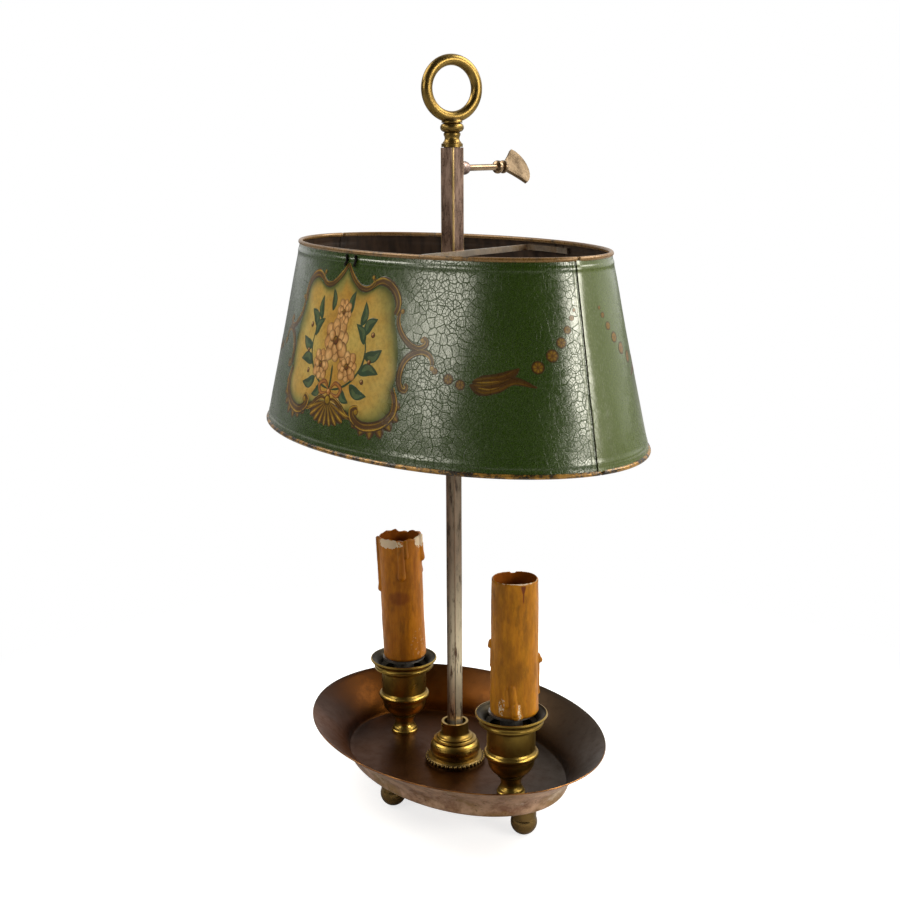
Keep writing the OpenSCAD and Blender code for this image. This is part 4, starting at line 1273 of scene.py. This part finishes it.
def candles(left_wax, right_wax, inside):
    """The right tube stands upright. The left one leans about a point a third of the way up it."""
    upright = Matrix.Translation((CUP_X + RIGHT_SLIP[0], RIGHT_SLIP[1], SEAT_Z))
    pivot = Matrix.Translation((0, 0, TUBE_H / 3))
    turn = Matrix.Rotation(LEAN_DIR, 4, "Z")
    lean = turn @ pivot @ Matrix.Rotation(LEAN, 4, "Y") @ pivot.inverted() @ turn.inverted()
    leaning = Matrix.Translation((-CUP_X, 0, SEAT_Z + LEAN_LIFT)) @ lean
    candle(
        "candle_tube_waxed_right", "candle_tube_right", upright, RIGHT_TUBE_R,
        RIGHT_DRIPS, right_rim, (right_chips_and_glint, right_stains), [right_wax, inside],
    )
    candle(
        "candle_tube_waxed_left", "candle_tube_left", leaning, LEFT_TUBE_R,
        LEFT_DRIPS, left_rim, (left_chips, left_stains), [left_wax, inside],
    )


# ------------------------------------------------------------------ studio

WHITE = (1, 1, 1)
FLOOR_REACH = 12.0
FLOOR_GLOW = 0.74
FRONT_LEVEL, BACK_LEVEL = 0.02, 0.9
BRIGHT_SIDE = math.radians(112)
LAMP_COLOUR = (1.0, 0.98, 0.93)
LAMP_DISTANCE = 1.6
LIT_POINT = (0, 0, 0.3)
# Name, azimuth, elevation, width, height and radiance of each soft box, in degrees and metres
SOFT_BOXES = (
    ("box_left", -95, 17, 0.66, 0.46, 4.8),
    ("box_right", 19, 14, 0.9, 0.42, 11.0),
    ("box_side_right", 66, 42, 0.9, 0.9, 10.0),
    ("box_side_left", -140, 42, 0.9, 0.9, 6.0),
)

CAMERA_PLACE = (0.6813, -0.5012, 0.4199)
CAMERA_YAW, CAMERA_PITCH, CAMERA_TILT = (math.radians(turn) for turn in (53.813, 12.647, -0.318))
LENS = 55.14


def studio():
    """Pale floor, white surroundings that are dark towards the camera, and four soft boxes."""
    bpy.context.scene.view_settings.view_transform = "Standard"
    floor()
    surroundings()
    for name, azimuth, elevation, width, height, radiance in SOFT_BOXES:
        lamp = bpy.data.lights.new(name, "AREA")
        lamp.shape = "RECTANGLE"
        lamp.size, lamp.size_y = width, height
        lamp.energy = radiance * math.pi * width * height
        lamp.color = LAMP_COLOUR
        along, up = polar(1, math.radians(elevation))
        outwards = Vector((*polar(along, math.radians(azimuth)), up))
        obj = link(name, lamp)
        obj.location = Vector(LIT_POINT) + outwards * LAMP_DISTANCE
        obj.rotation_euler = outwards.to_track_quat("Z", "Y").to_euler()


def floor():
    """Pale floor. The camera sees it glow a little, and as plain white away from the lamp."""
    r = FLOOR_REACH
    mesh = bpy.data.meshes.new("floor")
    mesh.from_pydata([(-r, -r, 0), (r, -r, 0), (r, r, 0), (-r, r, 0)], [], [[0, 1, 2, 3]])
    obj = link("floor", mesh)
    paint = Paint("pale_floor")
    pale = paint.mix(paint.noise(6.0, 2.0), (0.58, 0.58, 0.57), (0.62, 0.62, 0.61))
    paint.set(base_color=pale, roughness=0.9, specular_ior_level=0.1)
    glow = paint.node("Emission", {"Color": WHITE, "Strength": FLOOR_GLOW})
    near = paint.node("AddShader", {0: paint.shader.outputs[0], 1: glow.outputs[0]})
    white = paint.node("Emission", {"Color": WHITE, "Strength": 1.0})
    distance = paint.node("VectorMath", {0: paint.place}, operation="LENGTH").outputs["Value"]
    away = paint.step(distance, 0.2, 0.45)
    shown = paint.node("MixShader", {0: away, 1: near.outputs[0], 2: white.outputs[0]})
    seen = paint.node("LightPath").outputs["Is Camera Ray"]
    choice = paint.node("MixShader", {0: seen, 1: paint.shader.outputs[0], 2: shown.outputs[0]})
    paint.tree.links.new(choice.outputs[0], paint.tree.nodes["Material Output"].inputs["Surface"])
    mesh.materials.append(paint.material)


def surroundings():
    """World that the camera sees as white. Its light comes from behind and the right."""
    world = bpy.data.worlds.new("studio")
    bpy.context.scene.world = world
    world.use_nodes = True
    nodes, links = world.node_tree.nodes, world.node_tree.links
    facing = nodes.new("ShaderNodeVectorMath")
    facing.operation = "DOT_PRODUCT"
    facing.inputs[1].default_value = (*polar(1, BRIGHT_SIDE), 0)
    links.new(nodes.new("ShaderNodeTexCoord").outputs["Generated"], facing.inputs[0])
    level = nodes.new("ShaderNodeMapRange")
    level.interpolation_type = "SMOOTHSTEP"
    span = {"From Min": -0.15, "From Max": 0.9, "To Min": FRONT_LEVEL, "To Max": BACK_LEVEL}
    for key, value in span.items():
        level.inputs[key].default_value = value
    links.new(facing.outputs["Value"], level.inputs["Value"])
    choose = nodes.new("ShaderNodeMix")
    choose.data_type = "FLOAT"
    choose.inputs[3].default_value = 1.0
    links.new(nodes.new("ShaderNodeLightPath").outputs["Is Camera Ray"], choose.inputs[0])
    links.new(level.outputs["Result"], choose.inputs[2])
    background = nodes["Background"]
    background.inputs["Color"].default_value = (*WHITE, 1)
    links.new(choose.outputs[0], background.inputs["Strength"])


def camera():
    """The photograph's view: a long lens from the front right, looking a little down."""
    data = bpy.data.cameras.new("camera")
    data.lens = LENS
    data.sensor_width = 36
    data.clip_start = 0.05
    obj = link("camera", data)
    turn = Matrix.Rotation(CAMERA_YAW, 4, "Z") @ Matrix.Rotation(math.pi / 2 - CAMERA_PITCH, 4, "X")
    turn = turn @ Matrix.Rotation(CAMERA_TILT, 4, "Z")
    obj.matrix_world = Matrix.Translation(CAMERA_PLACE) @ turn
    bpy.context.scene.camera = obj


# ------------------------------------------------------------------ the lamp


# Nodes that keep their CAD shape, and the function that makes their material with its values
NODE_LOOKS = (
    # The cups' last value darkens their funnels as painted shade
    ("cup_left cup_right", aged_brass,
     "cup_brass", (0.4, 0.26, 0.055), (0.08, 0.045, 0.01), 0.27, 0.00003, True),
    ("stem_bell", aged_brass,
     "bell_brass", (0.37, 0.235, 0.05), (0.07, 0.038, 0.009), 0.26, 0.00003),
    ("stem_beading", aged_brass, "bead_brass", (0.14, 0.09, 0.03), (0.03, 0.018, 0.008), 0.34),
    ("finial_neck", aged_brass,
     "ring_brass", (0.25, 0.16, 0.042), (0.14, 0.085, 0.025), 0.3, 0.000003),
    ("screw_spindle", aged_brass, "screw_brass", (0.32, 0.22, 0.13), (0.12, 0.07, 0.03), 0.24),
    ("screw_wing", plain_metal,
     "wing_brass", (0.2, 0.13, 0.06), (0.11, 0.066, 0.025), 0.5, 110.0, 0.5),
    ("foot_front foot_back foot_left foot_right", aged_brass,
     "foot_brass", (0.22, 0.14, 0.05), (0.03, 0.018, 0.007), 0.22),
    # The rod's last colour is a painted reflection low on its right face
    ("stem_rod", square_steel, "rod_steel", ROD_SIDE,
     (0.04, 0.022, 0.013), (0.125, 0.066, 0.042), (0.22, 0.14, 0.09), (1.0, 0.86, 0.6)),
    ("sleeve", square_steel, "sleeve_steel", SLEEVE_SIDE,
     (0.18, 0.11, 0.075), (0.43, 0.285, 0.21), (0.9, 0.62, 0.2)),
    ("screw_boss", plain_metal, "boss_steel", (0.34, 0.25, 0.21), (0.16, 0.1, 0.08), 0.4),
    ("stem_washer stem_nut holder_washers holder_nuts tube_seat_left tube_seat_right", plain_metal,
     "fixing_steel", (0.34, 0.32, 0.3), (0.14, 0.12, 0.1), 0.35),
    ("holder_stem_left holder_stem_right screw_shell_left screw_shell_right contact_left "
     "contact_right", plain_metal, "thread_brass", (0.5, 0.38, 0.16), (0.2, 0.14, 0.06), 0.3),
    ("carrier_strip", plain_metal,
     "strip_brass", (0.66, 0.57, 0.46), (0.36, 0.25, 0.15), 0.3, 90.0),
    ("lampholder_left lampholder_right", holder_moulding),
)


def dress_nodes():
    """Gives the CAD pieces that stay their materials."""
    for names, make, *values in NODE_LOOKS:
        material = make(*values)
        for name in names.split():
            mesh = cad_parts[name].data
            mesh.materials.clear()
            mesh.materials.append(material)


def shade():
    """The two lapped halves, their rolled edges, the ties and the painting."""
    brown = inner_paint()
    front_green = green_paint("front_green_paint", 0.0)
    # The back half's paint is lighter and yellower: partly yellowed varnish, partly painted light
    # for the shade's brighter right end
    back_green = green_paint("back_green_paint", 0.55)
    shade_half("shade_front_wall", SEAM_TURN - 180, "shade_front", front_green, brown)
    shade_half("shade_back_wall", SEAM_TURN, "shade_back", back_green, brown)
    top_gold = rim_paint("top_roll_gold", (0.22, 0.115, 0.03), (0.04, 0.028, 0.012), 0.68)
    low_gold = rim_paint("low_roll_gold", (0.4, 0.2, 0.03), (0.02, 0.013, 0.006), 0.56)
    roll("top_roll", SHADE_LOW_Z + SHADE_H - ROLL_R, "shade_top_roll", top_gold)
    roll("low_roll", SHADE_LOW_Z + ROLL_R, "shade_bottom_roll", low_gold)
    ties(plain_metal("iron_wire", (0.02, 0.017, 0.014), (0.008, 0.007, 0.006), 0.4))
    ornament(ornament_paint())


def lamp():
    dress_nodes()
    carrying_ring(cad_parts["finial_neck"].data.materials[0])
    tray(tray_inside(), tray_outside(), tray_lip())
    shade()
    right_wax = wax("wax_honey", (0.52, 0.2, 0.005), (0.35, 0.12, 0.003), (0.16, 0.062, 0.002))
    left_wax = wax("wax_orange", (0.5, 0.17, 0.005), (0.32, 0.1, 0.003), (0.13, 0.036, 0.001))
    candles(left_wax, right_wax, tube_inside())


studio()
camera()
lamp()
